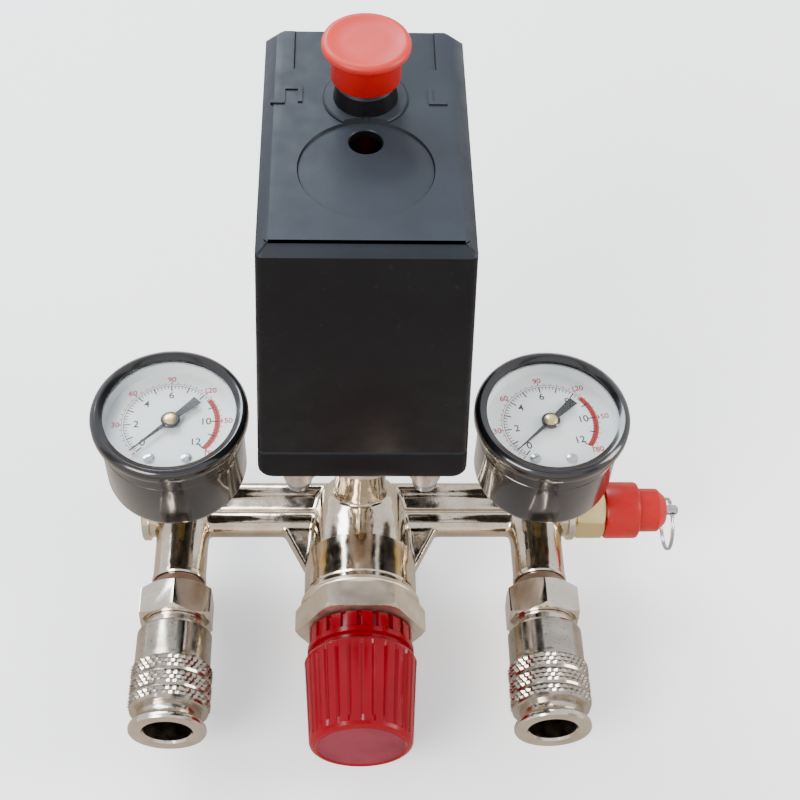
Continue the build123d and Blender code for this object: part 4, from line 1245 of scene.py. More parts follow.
# ------------------------------------------------------------------ manifold
@dataclass
class Manifold:
    """Nickel-plated casting: two-rail bar, ports, bell, webs, riser and inlet.

    Attributes:
        front_rail: Place along Y and radius of the front rail.
        rear_rail: Place along Y and radius of the rear rail.
        web_half: Half the thickness of the web between the rails.
        boss_start: Distance from the middle where an end boss starts.
        bell_end: Station where the bell meets the barrel.
        barrel_radius: Radius of the barrel.
        port_radius: Radius of a coupler port.
        port_reach: Station where a coupler port ends.
        gauge_port: Height of a gauge port over the bar's axis.
        boss_radius: Radius of an end boss.
        thread: Radius of the bonnet's thread.
        chamber: Radius of the diaphragm's chamber, and the station where it ends.
        grain: Size of the casting's mesh.
    """

    front_rail: tuple[float, float] = (-4.7, 4.1)
    rear_rail: tuple[float, float] = (6.0, 3.2)
    web_half: float = 2.1
    boss_start: float = 57.0
    bell_end: float = 18.0
    barrel_radius: float = 16.1
    port_radius: float = 7.6
    port_reach: float = 25.1
    gauge_port: float = 11.0
    boss_radius: float = 8.0
    thread: float = 13.85
    chamber: tuple[float, float] = (11.5, 27.5)
    grain: float = 0.6

    def __post_init__(self) -> None:
        """Reads the manifold's place."""
        self.space = Extent.of("manifold_body")
        self.plug = Extent.of("end_plug")
        self.centre = Vector((0, 0, self.plug.centre.z))
        self.half_length = self.space.high.x
        self.barrel_end = -self.space.low.y
        self.coupler_x = Extent.of("coupler_right_body").centre.x
        self.gauge_x = Extent.of("gauge_right_case").centre.x

    def turned_there(
        self, profile: Profile, facing: Facing, x: float = 0.0, y: float = 0.0, z: float = 0.0
    ) -> Workpiece:
        """A shape turned about an axis through the bar.

        Args:
            profile: Stations and radii.
            facing: Where its axis points.
            x: Its place along X.
            y: Its place along Y.
            z: Its height over the bar's axis.

        Returns:
            The shape, in place.
        """
        shape = Workpiece.turned("shape", profile)
        return shape.move(facing.matrix(self.centre + Vector((x, y, z))))

    def bell_profile(self, extra: float = 0.0) -> list[tuple[float, float]]:
        """Outline of the bell behind the barrel.

        Args:
            extra: How much larger it is made.

        Returns:
            Stations and radii.
        """
        steps = ((-9.0, 5.0), (-8.6, 8.0), (-6.5, 10.6), (-3.0, 12.4), (2.0, 13.4), (9.0, 14.2))
        return [
            *((station, radius + extra) for station, radius in steps),
            (self.bell_end, 14.7 + extra),
        ]

    def build_casting(self) -> None:
        """Melts rails, web, bosses, ports, bell and webs into one casting."""
        reach = self.boss_start + 1
        parts = []
        for y, radius in (self.front_rail, self.rear_rail):
            parts.append(self.turned_there([(-reach, radius), (reach, radius)], Facing.SIDE, y=y))
        web_depth = self.rear_rail[0] - self.front_rail[0]
        web = Workpiece.block("web", (2 * reach, web_depth), -self.web_half, self.web_half)
        web_y = (self.rear_rail[0] + self.front_rail[0]) / 2
        parts.append(web.move(Matrix.Translation(self.centre + Vector((0, web_y, 0)))))
        parts.append(self.turned_there(self.bell_profile(), Facing.FORWARD))
        for side in (-1, 1):
            x = side * self.coupler_x
            boss = [
                (side * (self.boss_start - 3), 6.8), (side * self.boss_start, self.boss_radius),
                (side * (self.half_length - 1), self.boss_radius),
            ]
            parts.append(self.turned_there(boss, Facing.SIDE))
            port = [(-8.6, 5.2), (-7.4, 7.4), (-4, 8.2), (5, 8.2), (12, self.port_radius)]
            port.append((24.6, self.port_radius))
            parts.append(self.turned_there(port, Facing.FORWARD, x=x))
            riser = [(-7.0, 5.5), (-4.5, 7.0), (10.6, 6.8)]
            parts.append(self.turned_there(riser, Facing.UP, x=side * self.gauge_x))
            gusset = Workpiece.tapered("gusset", (26.0, 5.0), (5.0, 5.0), 2.0, self.bell_end + 5)
            gusset.move(Facing.FORWARD.matrix(self.centre + Vector((side * 12.5, 0, 0))))
            parts.append(gusset)
        stem = [(-10.0, 9.6), (2.0, 9.6), (13.0, 7.5), (20.0, 7.3), (self.riser_top(), 7.3)]
        parts.append(self.turned_there(stem, Facing.UP))
        casting = parts[0].gather(parts[1:])
        casting.obj.name = "manifold_casting"
        casting.cast(self.grain, 7)
        for cutter in self.bores():
            casting.combine(cutter, Cut.REMOVE)
        casting.settle(
            CAST_NICKEL, "root", Slot.CASTING, stands_for=["manifold_body"], sharp_above=60.0
        )

    def riser_top(self) -> float:
        """Height of the riser's end over the bar's axis.

        Returns:
            The height.
        """
        return self.space.high.z - self.centre.z

    def bores(self) -> list[Workpiece]:
        """What is drilled out of the casting.

        Returns:
            Cutters, in place.
        """
        wide, shoulder = self.chamber
        chamber = [
            (5.5, 4.4), (15.0, 4.4), (15.0, 2.0), (19.0, 2.0), (19.0, wide), (shoulder, wide),
            (shoulder, self.thread), (self.barrel_end + 1, self.thread),
        ]
        cutters = [self.turned_there(chamber, Facing.FORWARD)]
        for side in (-1, 1):
            far = side * (self.half_length + 1)
            near = side * (self.half_length - 7.0)
            cutters.append(self.turned_there([(near, 5.03), (far, 5.03)], Facing.SIDE))
            cutters.append(
                self.turned_there(
                    [(16.1, 5.63), (26.0, 5.63)], Facing.FORWARD, x=side * self.coupler_x
                )
            )
            cutters.append(
                self.turned_there([(2.5, 4.33), (12.0, 4.33)], Facing.UP, x=side * self.gauge_x)
            )
        return cutters

    def build_lands(self) -> None:
        """Builds the crisp machined faces: barrel, end rings, port ends and parting line."""
        start, end = self.bell_end, self.barrel_end
        radius = self.barrel_radius
        wide, shoulder = self.chamber
        barrel = [
            (start - 0.4, radius - 2.2), (start - 0.4, radius - 0.5), (start, radius),
            (end - 2.0, radius), (end - 1.6, radius - 0.25), (end - 1.2, radius),
            (end - 0.3, radius), (end, radius - 0.3), (end, self.thread), (shoulder, self.thread),
            (shoulder, wide), (start - 0.4, wide),
        ]
        piece = Workpiece.turned("manifold_barrel", barrel, sides=160, closed=True)
        piece.settle(CAST_NICKEL, "root", Slot.CASTING, Facing.FORWARD, self.centre)
        edge, reach, top = self.half_length, self.port_reach, self.gauge_port
        ring = [
            (edge - 2.4, 7.6), (edge - 2.2, 8.8), (edge - 2.0, 9.0), (edge - 0.4, 9.0),
            (edge, 8.6), (edge, 5.1), (edge - 2.4, 5.1),
        ]
        port = [
            (reach - 1.5, 7.7), (reach - 0.4, 7.8), (reach, 7.5), (reach, 5.7), (reach - 1.5, 5.7),
        ]
        gauge = [
            (top - 1.2, 6.7), (top - 0.9, 6.95), (top - 0.3, 6.95), (top, 6.6), (top, 4.4),
            (top - 1.2, 4.4),
        ]
        for side, name in ((-1, "left"), (1, "right")):
            mirrored = [(side * station, radius) for station, radius in ring]
            for kind, outline, facing, x in (
                ("end_ring", mirrored, Facing.SIDE, 0.0),
                ("port_land", port, Facing.FORWARD, side * self.coupler_x),
                ("gauge_land", gauge, Facing.UP, side * self.gauge_x),
            ):
                piece = Workpiece.turned(f"manifold_{name}_{kind}", outline, closed=True)
                place = self.centre + Vector((x, 0, 0))
                piece.settle(TURNED_NICKEL, "root", Slot.CASTING, facing, place)
        seam = self.turned_there(self.bell_profile(0.15), Facing.FORWARD)
        slab = Workpiece.block("slab", (1.0, 60.0), self.centre.z + 6, 60.0)
        seam.combine(slab, Cut.KEEP_SHARED)
        seam.obj.name = "manifold_parting_line"
        seam.soften(0.15)
        seam.settle(CAST_NICKEL, "root", Slot.CASTING)

    def build_inlet(self) -> None:
        """Builds the tank inlet's hexagon and the left-hand plug."""
        inlet = Workpiece.nut("manifold_inlet_hexagon", 22.0, 0.0, 15.0, True)
        bore = [(-1.0, 6.4), (0.6, 5.75), (13.0, 5.75)]
        inlet.combine(Workpiece.turned("bore", bore), Cut.REMOVE)
        inlet.soften(0.2)
        inlet.settle(TURNED_NICKEL, "root", Slot.CASTING)
        low, high = self.plug.low.x, self.plug.high.x
        plug = Workpiece.turned(
            "end_plug_screw", [(low, 4.4), (low + 0.5, 4.9), (high, 4.9)], sides=64
        )
        socket = Workpiece.turned("socket", [(low - 1, 2.9), (low + 4, 2.9)], sides=6)
        plug.combine(socket, Cut.REMOVE)
        plug.settle(
            BRIGHT_STEEL, "root", Slot.STEEL, Facing.SIDE, self.centre, stands_for=["end_plug"]
        )

    def build(self) -> None:
        """Builds the manifold."""
        self.build_casting()
        self.build_lands()
        self.build_inlet()


# ------------------------------------------------------------------ regulator
@dataclass
class Regulator:
    """Bonnet with its hexagon, and the fluted crimson knob.

    Attributes:
        across_flats: Size of the hexagon.
        ring_radius: Radius of the ring behind the hexagon.
        neck_radius: Radius of the bonnet's neck.
        flutes: Flutes round the knob.
        columns: Columns of mesh for each flute.
        teeth: Teeth round the knob's neck.
        flute_depth: Depth of a flute.
    """

    across_flats: float = 32.1
    ring_radius: float = 17.0
    neck_radius: float = 11.0
    flutes: int = 28
    columns: int = 10
    teeth: int = 20
    flute_depth: float = 0.5

    def __post_init__(self) -> None:
        """Reads the regulator's place."""
        self.bonnet = Extent.of("regulator_bonnet")
        self.knob = Extent.of("regulator_knob")
        self.centre = Vector((0, 0, self.bonnet.centre.z))
        self.barrel_end = -Extent.of("manifold_body").low.y

    def build_bonnet(self) -> None:
        """Builds the bonnet."""
        start, end = -self.bonnet.high.y, -self.bonnet.low.y
        ring = self.barrel_end
        profile = [
            (start, 13.75), (ring + 0.05, 13.75), (ring + 0.05, self.ring_radius - 0.5),
            (ring + 0.35, self.ring_radius - 0.1), (ring + 0.6, self.ring_radius),
            (ring + 1.3, self.ring_radius), (ring + 1.6, self.ring_radius - 0.2),
            (ring + 1.9, self.ring_radius - 1.0), (ring + 2.4, self.ring_radius - 1.4),
            (ring + 6.0, self.neck_radius), (end, self.neck_radius),
        ]
        bonnet = Workpiece.turned("regulator_bonnet_hexagon", profile, sides=128)
        nut = Workpiece.nut("nut", self.across_flats, ring + 2.1, ring + 9.5, False, 0.4)
        bonnet.combine(nut.soften(0.25))
        cavity = [(start - 1, 9.2), (end - 4, 9.2), (end - 4, 4.06), (end + 1, 4.06)]
        bonnet.combine(Workpiece.turned("cavity", cavity), Cut.REMOVE)
        bonnet.settle(
            SATIN_NICKEL, "root", Slot.CASTING, Facing.FORWARD, self.centre,
            stands_for=["regulator_bonnet"]
        )

    def _column(self, place: Vector, count: int) -> int:
        """Which column of the mesh a vertex is in.

        Args:
            place: The vertex.
            count: Columns round the knob.

        Returns:
            The column's number.
        """
        return round(math.atan2(place.y, place.x) / math.tau * count) % count

    def build_knob(self) -> None:
        """Builds the knob with its toothed neck, flutes and end face."""
        start, end = -self.knob.high.y, -self.knob.low.y
        shoulder = start + 8.2
        count = self.flutes * self.columns
        wide, narrow = 15.72, 14.15
        ribs = [
            (shoulder + share * (end - 1.6 - shoulder), wide + share * (narrow - wide))
            for share in (0.1, 0.16, 0.3, 0.5, 0.7, 0.85, 0.93)
        ]
        profile = [
            (start + 16.4, 12.1), (start, 12.1), (start, 14.2), (start + 0.3, 14.5),
            (start + 4.6, 14.5), (start + 5.0, 14.9), (start + 6.4, 14.9), (start + 6.8, 13.9),
            (shoulder - 0.4, 13.9), (shoulder, 14.6), (shoulder + 0.5, 15.3),
            (shoulder + 1.3, wide), *ribs, (end - 1.6, narrow), (end - 0.7, narrow - 0.35),
            (end - 0.2, narrow - 1.0), (end, narrow - 1.7), (end - 0.35, narrow - 2.3),
            (end - 0.4, 6.0), (end - 0.4, 0.05),
        ]
        knob = Workpiece.turned("regulator_knob_grip", profile, sides=count)
        first, last = ribs[0][0] - 0.1, ribs[-1][0] + 0.1
        for columns, share in (((0,), 1.0), ((1, -1), 0.6)):
            ratio = 1 - share * self.flute_depth / wide
            chosen = {column % self.columns for column in columns}
            knob.reshape(
                lambda co, chosen=chosen: first < co.z < last
                and co.to_2d().length > 12.5
                and self._column(co, count) % self.columns in chosen,
                (ratio, ratio, 1),
                0.0,
            )
        span = count // self.teeth
        knob.reshape(
            lambda co: start + 0.2 < co.z < start + 4.8
            and co.to_2d().length > 13
            and self._column(co, count) % span in (0, 1, 2, 3),
            (0.93, 0.93, 1),
            0.0,
        )
        socket_end = start + 16.4 + 12.0
        socket = Workpiece.turned("socket", [(start + 15, 5.26), (socket_end, 5.26)], sides=6)
        knob.combine(socket.turn(math.pi / 6), Cut.REMOVE)
        knob.settle(
            CRIMSON, "knob", Slot.CRIMSON, Facing.FORWARD, self.centre,
            stands_for=["regulator_knob"], sharp_above=16.0
        )
        face = [(end - 0.42, narrow - 2.35), (end - 0.3, narrow - 2.4), (end - 0.3, 0.05)]
        disc = Workpiece.turned("regulator_knob_end_face", face, sides=96)
        disc.settle(CRIMSON_END, "knob", Slot.CRIMSON, Facing.FORWARD, self.centre)

    def build(self) -> None:
        """Builds the regulator's outer pieces."""
        self.build_bonnet()
        self.build_knob()


# ------------------------------------------------------------------ gauges
@dataclass
class Gauge:
    """Dial gauge with an enamelled case.

    Attributes:
        side: "left" or "right".
        roll: Angle in degrees by which its face is turned.
        window: Radius of the window in the bezel.
        zero_angle: Angle in degrees at which the needle rests.
        sweep: Angle in degrees from zero to full scale.
        arc_radius: Radius of the scale's double line.
        needle_length: Length of the needle's pointer.
        tail_length: Length of its tail.
        blade: Thickness of the needle's sheet.
        ink: Thickness of the printed lines.
        screw_place: Distance of a dial screw beside and below the middle.
    """

    side: str
    roll: float
    window: float = 18.0
    zero_angle: float = 225.0
    sweep: float = 270.0
    arc_radius: float = 12.9
    needle_length: float = 14.4
    tail_length: float = 9.8
    blade: float = 0.35
    ink: float = 0.03
    screw_place: tuple[float, float] = (5.0, 11.8)

    def __post_init__(self) -> None:
        """Reads the gauge's place."""
        self.case = Extent.of(f"gauge_{self.side}_case")
        self.bezel = Extent.of(f"gauge_{self.side}_bezel")
        self.dial = Extent.of(f"gauge_{self.side}_dial")
        self.needle = Extent.of(f"gauge_{self.side}_needle")
        self.glass = Extent.of("gauge_glasses")
        self.place = Vector((self.case.centre.x, 0, 0))

    def put(
        self, piece: Workpiece, finish: Finish, slot: Slot, stands_for: Sequence[str] = (),
        body: str = "root"
    ) -> None:
        """Settles one of the gauge's pieces.

        Args:
            piece: The piece.
            finish: Its finish.
            slot: Its material slot.
            stands_for: CAD nodes that it replaces.
            body: CAD body that it moves with.
        """
        piece.settle(finish, body, slot, origin=self.place, stands_for=stands_for)

    def build_case(self) -> None:
        """Builds the case, bezel and glass."""
        low, high = self.case.low.z, self.case.high.z
        radius = (self.case.high.x - self.case.low.x) / 2
        case = [
            (low, 4.9), (low, radius - 2.4), (low + 0.5, radius - 1.0), (low + 1.4, radius - 0.25),
            (low + 2.6, radius), (high - 7.2, radius), (high - 7.0, radius - 0.2),
            (high - 6.8, radius), (high, radius), (high, radius - 1.0), (low + 1.0, radius - 1.0),
            (low + 1.0, 4.9),
        ]
        piece = Workpiece.turned(f"gauge_{self.side}_cup", case, sides=144, closed=True)
        self.put(piece, ENAMEL, Slot.ENAMEL, [f"gauge_{self.side}_case"])
        low, high = self.bezel.low.z, self.bezel.high.z
        radius_out = (self.bezel.high.x - self.bezel.low.x) / 2
        bezel = [
            (low, radius + 0.04), (low, radius_out - 0.7), (low + 0.3, radius_out - 0.2),
            (low + 0.7, radius_out), (high - 1.5, radius_out), (high - 0.8, radius_out - 0.25),
            (high - 0.25, radius_out - 0.9), (high, radius_out - 1.6),
            (high - 0.15, radius_out - 2.2), (high - 0.8, self.window + 0.4),
            (high - 0.95, self.window), (self.glass.high.z + 0.02, self.window),
            (self.glass.high.z + 0.02, radius + 0.04),
        ]
        piece = Workpiece.turned(f"gauge_{self.side}_rim", bezel, sides=144, closed=True)
        self.put(piece, ENAMEL, Slot.ENAMEL, [f"gauge_{self.side}_bezel"])
        low, high = self.glass.low.z, self.glass.high.z
        glass = [(low, radius - 1.05), (high, radius - 1.05)]
        piece = Workpiece.turned(f"gauge_{self.side}_pane", glass, sides=96)
        names = ["gauge_glasses"] if self.side == "left" else []
        self.put(piece, GLASS, Slot.WINDOW, names)
        collar = [
            (self.dial.high.z, self.window - 0.3), (self.glass.low.z, self.window + 0.2),
            (self.glass.low.z, radius - 1.05), (self.dial.high.z, radius - 1.05),
        ]
        piece = Workpiece.turned(f"gauge_{self.side}_inner_ring", collar, closed=True)
        self.put(piece, DIAL_PAINT, Slot.DIAL)

    def angle_of(self, share: float) -> float:
        """Angle of a reading on the dial.

        Args:
            share: Share of full scale.

        Returns:
            The angle in radians.
        """
        return math.radians(self.zero_angle - self.sweep * share)

    def strip(self, name: str, inner: float, outer: float, start: float) -> Workpiece:
        """A printed arc from a reading to the end of the scale.

        Args:
            name: The piece's name.
            inner: Inner radius.
            outer: Outer radius.
            start: Share of full scale where it starts.

        Returns:
            The arc, on the dial.
        """
        low = self.dial.high.z
        high = low + self.ink
        profile = [(low, inner), (high, inner), (high, outer), (low, outer)]
        arc = Workpiece.turned(name, profile, sides=216, closed=True)
        first = self.zero_angle - self.sweep * start + 0.5
        last = self.zero_angle - self.sweep - 0.5

        def outside(place: Vector) -> bool:
            angle = math.degrees(math.atan2(place.y, place.x))
            return not any(last <= angle + turn <= first for turn in (-360, 0, 360))

        return arc.discard(outside)

    def ticks(self, count: int, start: float, end: float, width: float) -> list[Workpiece]:
        """Printed scale lines.

        Args:
            count: Intervals on the scale.
            start: Inner radius.
            end: Outer radius.
            width: Width of a line.

        Returns:
            The lines, on the dial.
        """
        low = self.dial.high.z
        lines = []
        for number in range(count + 1):
            line = Workpiece.block("tick", (end - start, width), low, low + self.ink)
            line.shift((start + end) / 2, 0).turn(self.angle_of(number / count))
            lines.append(line)
        return lines

    def numerals(
        self, values: Sequence[tuple[str, float]], radius: float, size: float
    ) -> list[Workpiece]:
        """Printed numbers round the dial.

        Args:
            values: Each number and its share of full scale.
            radius: Radius that they stand on.
            size: Their height.

        Returns:
            The numbers, on the dial.
        """
        made = []
        for words, share in values:
            angle = self.angle_of(share)
            number = Workpiece.lettering("number", words, size)
            number.shift(
                radius * math.cos(angle), radius * math.sin(angle), self.dial.high.z + 0.02
            )
            made.append(number)
        return made

    def build_dial(self) -> None:
        """Builds the dial with its printed scales and screws."""
        low, high = self.dial.low.z, self.dial.high.z
        radius = (self.dial.high.x - self.dial.low.x) / 2
        plate = Workpiece.turned(
            f"gauge_{self.side}_face", [(low, radius), (high, radius)], sides=128
        )
        hole = Workpiece.turned("hole", [(low - 1, 1.4), (high + 1, 1.4)], sides=32)
        plate.combine(hole, Cut.REMOVE)
        self.put(plate, DIAL_PAINT, Slot.DIAL, [f"gauge_{self.side}_dial"])
        arc = self.arc_radius
        black = [
            self.strip("arc", arc - 0.1, arc + 0.06, 0.0),
            *self.ticks(12, arc - 1.9, arc, 0.36),
            *self.ticks(60, arc - 1.0, arc, 0.2),
            *self.numerals([(str(n), n / 12) for n in range(2, 13, 2)], 9.5, 3.1),
            *self.numerals([("0", 0.02)], 9.8, 3.1),
        ]
        red = [
            self.strip("arc", arc + 0.5, arc + 0.64, 0.0),
            *self.ticks(36, arc + 0.5, arc + 1.2, 0.2),
            *self.ticks(6, arc + 0.5, arc + 1.5, 0.3),
            *self.numerals([(str(n), n / 180) for n in range(30, 181, 30)], 15.1, 2.4),
        ]
        band = [self.strip("band", arc - 0.9, arc + 0.5, 0.7)]
        roll = math.radians(self.roll)
        for name, parts, ink in (
            ("black_print", black, BLACK_INK), ("red_print", red, RED_INK),
            ("red_band", band, RED_INK),
        ):
            print_layer = parts[0].gather(parts[1:]).turn(roll)
            print_layer.obj.name = f"gauge_{self.side}_{name}"
            self.put(print_layer, ink, Slot.DIAL)
        screws = Extent.of("dial_screws")
        beside, below = self.screw_place
        top = screws.high.z
        for number, x in enumerate((-beside, beside)):
            profile = [(screws.low.z, 0.75), (high, 0.75), (high, 1.58), (top - 0.25, 1.45)]
            screw = Workpiece.turned(
                f"gauge_{self.side}_dial_screw_{number}", [*profile, (top, 0.7)], sides=32
            )
            slot = Workpiece.block("slot", (4.0, 0.35), top - 0.35, top + 1)
            screw.combine(slot.turn(0.5 + number), Cut.REMOVE).shift(x, -below)
            names = ["dial_screws"] if (self.side, number) == ("left", 0) else []
            self.put(screw, BRIGHT_STEEL, Slot.BRASS, names)

    def build_needle(self) -> None:
        """Builds the needle, its arbor and its cap."""
        space = self.needle
        blade_low = space.high.z - 1.4
        body = f"{self.side}_needle"
        length = self.needle_length
        blade_high = blade_low + self.blade
        blade = Workpiece.block(
            f"gauge_{self.side}_pointer", (length, 1.3), blade_low, blade_high
        ).shift(length / 2, 0)
        blade.reshape(lambda co: co.x > length - 0.1, (1, 0.13, 1), 0.0)
        tail = Workpiece.block("tail", (self.tail_length, 2.7), blade_low, blade_high)
        tail.shift(-self.tail_length / 2, 0)
        tail.reshape(lambda co: co.x > -0.1, (1, 0.5, 1), 0.0)
        hub = [
            (space.low.z + 2.6, 0.75), (space.low.z + 3.2, 0.75), (space.low.z + 3.2, 1.6),
            (space.low.z + 4.4, 1.6), (space.low.z + 4.4, 0.75), (blade_low - 0.1, 0.75),
            (blade_low - 0.1, 2.6), (blade_low + 0.5, 2.6), (blade_low + 0.7, 2.3),
        ]
        blade.combine(tail).combine(Workpiece.turned("hub", hub, sides=64))
        blade.turn(math.radians(self.zero_angle))
        self.put(blade, ENAMEL, Slot.NEEDLE, [f"gauge_{self.side}_needle"], body)
        cap = [
            (blade_low + 0.7, 1.9), (space.high.z - 0.4, 1.8), (space.high.z - 0.1, 1.3),
            (space.high.z, 0.6),
        ]
        piece = Workpiece.turned(f"gauge_{self.side}_needle_cap", cap, sides=48)
        self.put(piece, BRASS, Slot.BRASS, body=body)

    def build(self) -> None:
        """Builds the gauge."""
        self.build_case()
        self.build_dial()
        self.build_needle()


# ------------------------------------------------------------------ quick couplers
@dataclass
class Coupler:
    """Quick coupler: hexagonal body with a nose, and a knurled sleeve.

    Attributes:
        side: "left" or "right".
        across_flats: Size of the hexagon.
        mouth: Radius of the mouth.
        nose: Radius of the nose.
        core: Radius of the barrel under the sleeve's lip.
        knurl_sides: Columns of the knurling.
        knurl_step: Rows of the knurling, in millimetres.
        knurl_height: Height of a knurl.
    """

    side: str
    across_flats: float = 19.8
    mouth: float = 6.55
    nose: float = 8.75
    core: float = 7.4
    knurl_sides: int = 76
    knurl_step: float = 0.6
    knurl_height: float = 0.72

    def __post_init__(self) -> None:
        """Reads the coupler's place."""
        self.body = Extent.of(f"coupler_{self.side}_body")
        self.sleeve = Extent.of(f"coupler_{self.side}_sleeve")
        self.centre = self.body.centre.copy()
        self.centre.y = 0.0

    def put(
        self, piece: Workpiece, finish: Finish, body: str, nodes: Sequence[str] = (),
        sharp_above: float = 32.0
    ) -> None:
        """Settles one of the coupler's pieces.

        Args:
            piece: The piece.
            finish: Its finish.
            body: CAD body that it moves with.
            nodes: CAD nodes that it replaces.
            sharp_above: Angle in degrees from which an edge stays sharp.
        """
        piece.settle(finish, body, Slot.COUPLER, Facing.FORWARD, self.centre, nodes, sharp_above)

    def build_body(self) -> None:
        """Builds the hexagonal body, nose and thread sealant."""
        end = -self.body.low.y
        start = -self.body.high.y
        profile = [
            (start, 5.55), (25.1, 5.55), (25.1, 6.5), (28.8, 6.8), (28.8, 8.0), (38.4, 8.0),
            (38.6, 8.4), (41.0, 8.4), (41.2, self.nose), (43.4, self.nose), (43.4, self.core),
            (60.0, self.core), (60.0, self.nose), (end - 4.6, self.nose),
            (end - 3.0, self.nose + 0.1), (end - 2.4, self.nose + 0.5),
            (end - 2.1, self.nose + 1.3), (end - 1.8, 10.45), (end - 1.4, 10.6), (end - 0.6, 10.6),
            (end - 0.15, 10.3), (end, 9.8), (end, self.mouth + 1.2),
            (end - 0.25, self.mouth + 0.5), (end - 0.9, self.mouth), (47.0, self.mouth),
            (47.0, 3.4), (44.0, 3.4), (44.0, 5.0), (30.0, 5.0), (30.0, 3.0), (start, 3.0),
        ]
        body = Workpiece.turned(f"coupler_{self.side}_nose", profile, sides=128, closed=True)
        nut = Workpiece.nut("nut", self.across_flats, 28.8, 38.4, True).soften(0.2)
        core = Workpiece.turned("core", [(20.0, 7.0), (50.0, 7.0)])
        nut.combine(core, Cut.REMOVE)
        body.combine(nut)
        self.put(body, TURNED_NICKEL, "root", [f"coupler_{self.side}_body"])
        sealant = [
            (25.2, 6.6), (25.6, 7.1), (26.4, 7.3), (27.4, 7.0), (28.2, 7.4), (28.7, 6.9),
            (28.7, 6.85), (25.2, 6.55),
        ]
        piece = Workpiece.turned(f"coupler_{self.side}_sealant", sealant, sides=64, closed=True)
        self.put(piece, SEALANT, "root")

    def band(self, start: float, end: float) -> list[tuple[float, float]]:
        """Rows of a knurled band.

        Args:
            start: Station where it starts.
            end: Station where it ends.

        Returns:
            Stations and radii.
        """
        rows = math.floor((end - start) / self.knurl_step)
        return [(start + row * self.knurl_step, 10.7) for row in range(rows + 1)]

    def build_sleeve(self) -> None:
        """Builds the sleeve with its three knurled bands."""
        start, end = -self.sleeve.high.y, -self.sleeve.low.y
        bands = [(52.6, 56.6), (57.4, 61.4), (62.0, 65.0)]
        bore = self.nose + 0.05
        lip = (52.0, 56.0)
        profile = [
            (start, bore), (start, 9.5), (start + 0.3, 10.1), (start + 1.0, 10.45), (50.6, 10.5),
            (51.6, 10.6), (52.3, 10.7), *self.band(*bands[0]), (56.9, 10.5), (57.1, 10.5),
            *self.band(*bands[1]), (61.6, 10.5), (61.8, 10.5), *self.band(*bands[2]),
            (end - 0.3, 10.7), (end, 10.2), (end, bore), (lip[1], bore),
            (lip[1], self.core + 0.05), (lip[0], self.core + 0.05), (lip[0], bore),
        ]
        sleeve = Workpiece.turned(
            f"coupler_{self.side}_grip", profile, sides=self.knurl_sides, closed=True
        )
        ratio = 1 + self.knurl_height / 10.7

        def raised(place: Vector) -> bool:
            if place.to_2d().length < 10.66:
                return False
            for low, high in bands:
                if low + 0.1 < place.z < high - 0.5:
                    row = round((place.z - low) / self.knurl_step)
                    turn = math.atan2(place.y, place.x) / math.tau
                    column = round(turn * self.knurl_sides)
                    return row % 2 == 1 and (row // 2 + column) % 2 == 0
            return False

        sleeve.reshape(raised, (ratio, ratio, 1), 0.0)
        self.put(
            sleeve, KNURLED_NICKEL, f"{self.side}_sleeve", [f"coupler_{self.side}_sleeve"], 14.0
        )

    def build(self) -> None:
        """Builds the coupler."""
        self.build_body()
        self.build_sleeve()


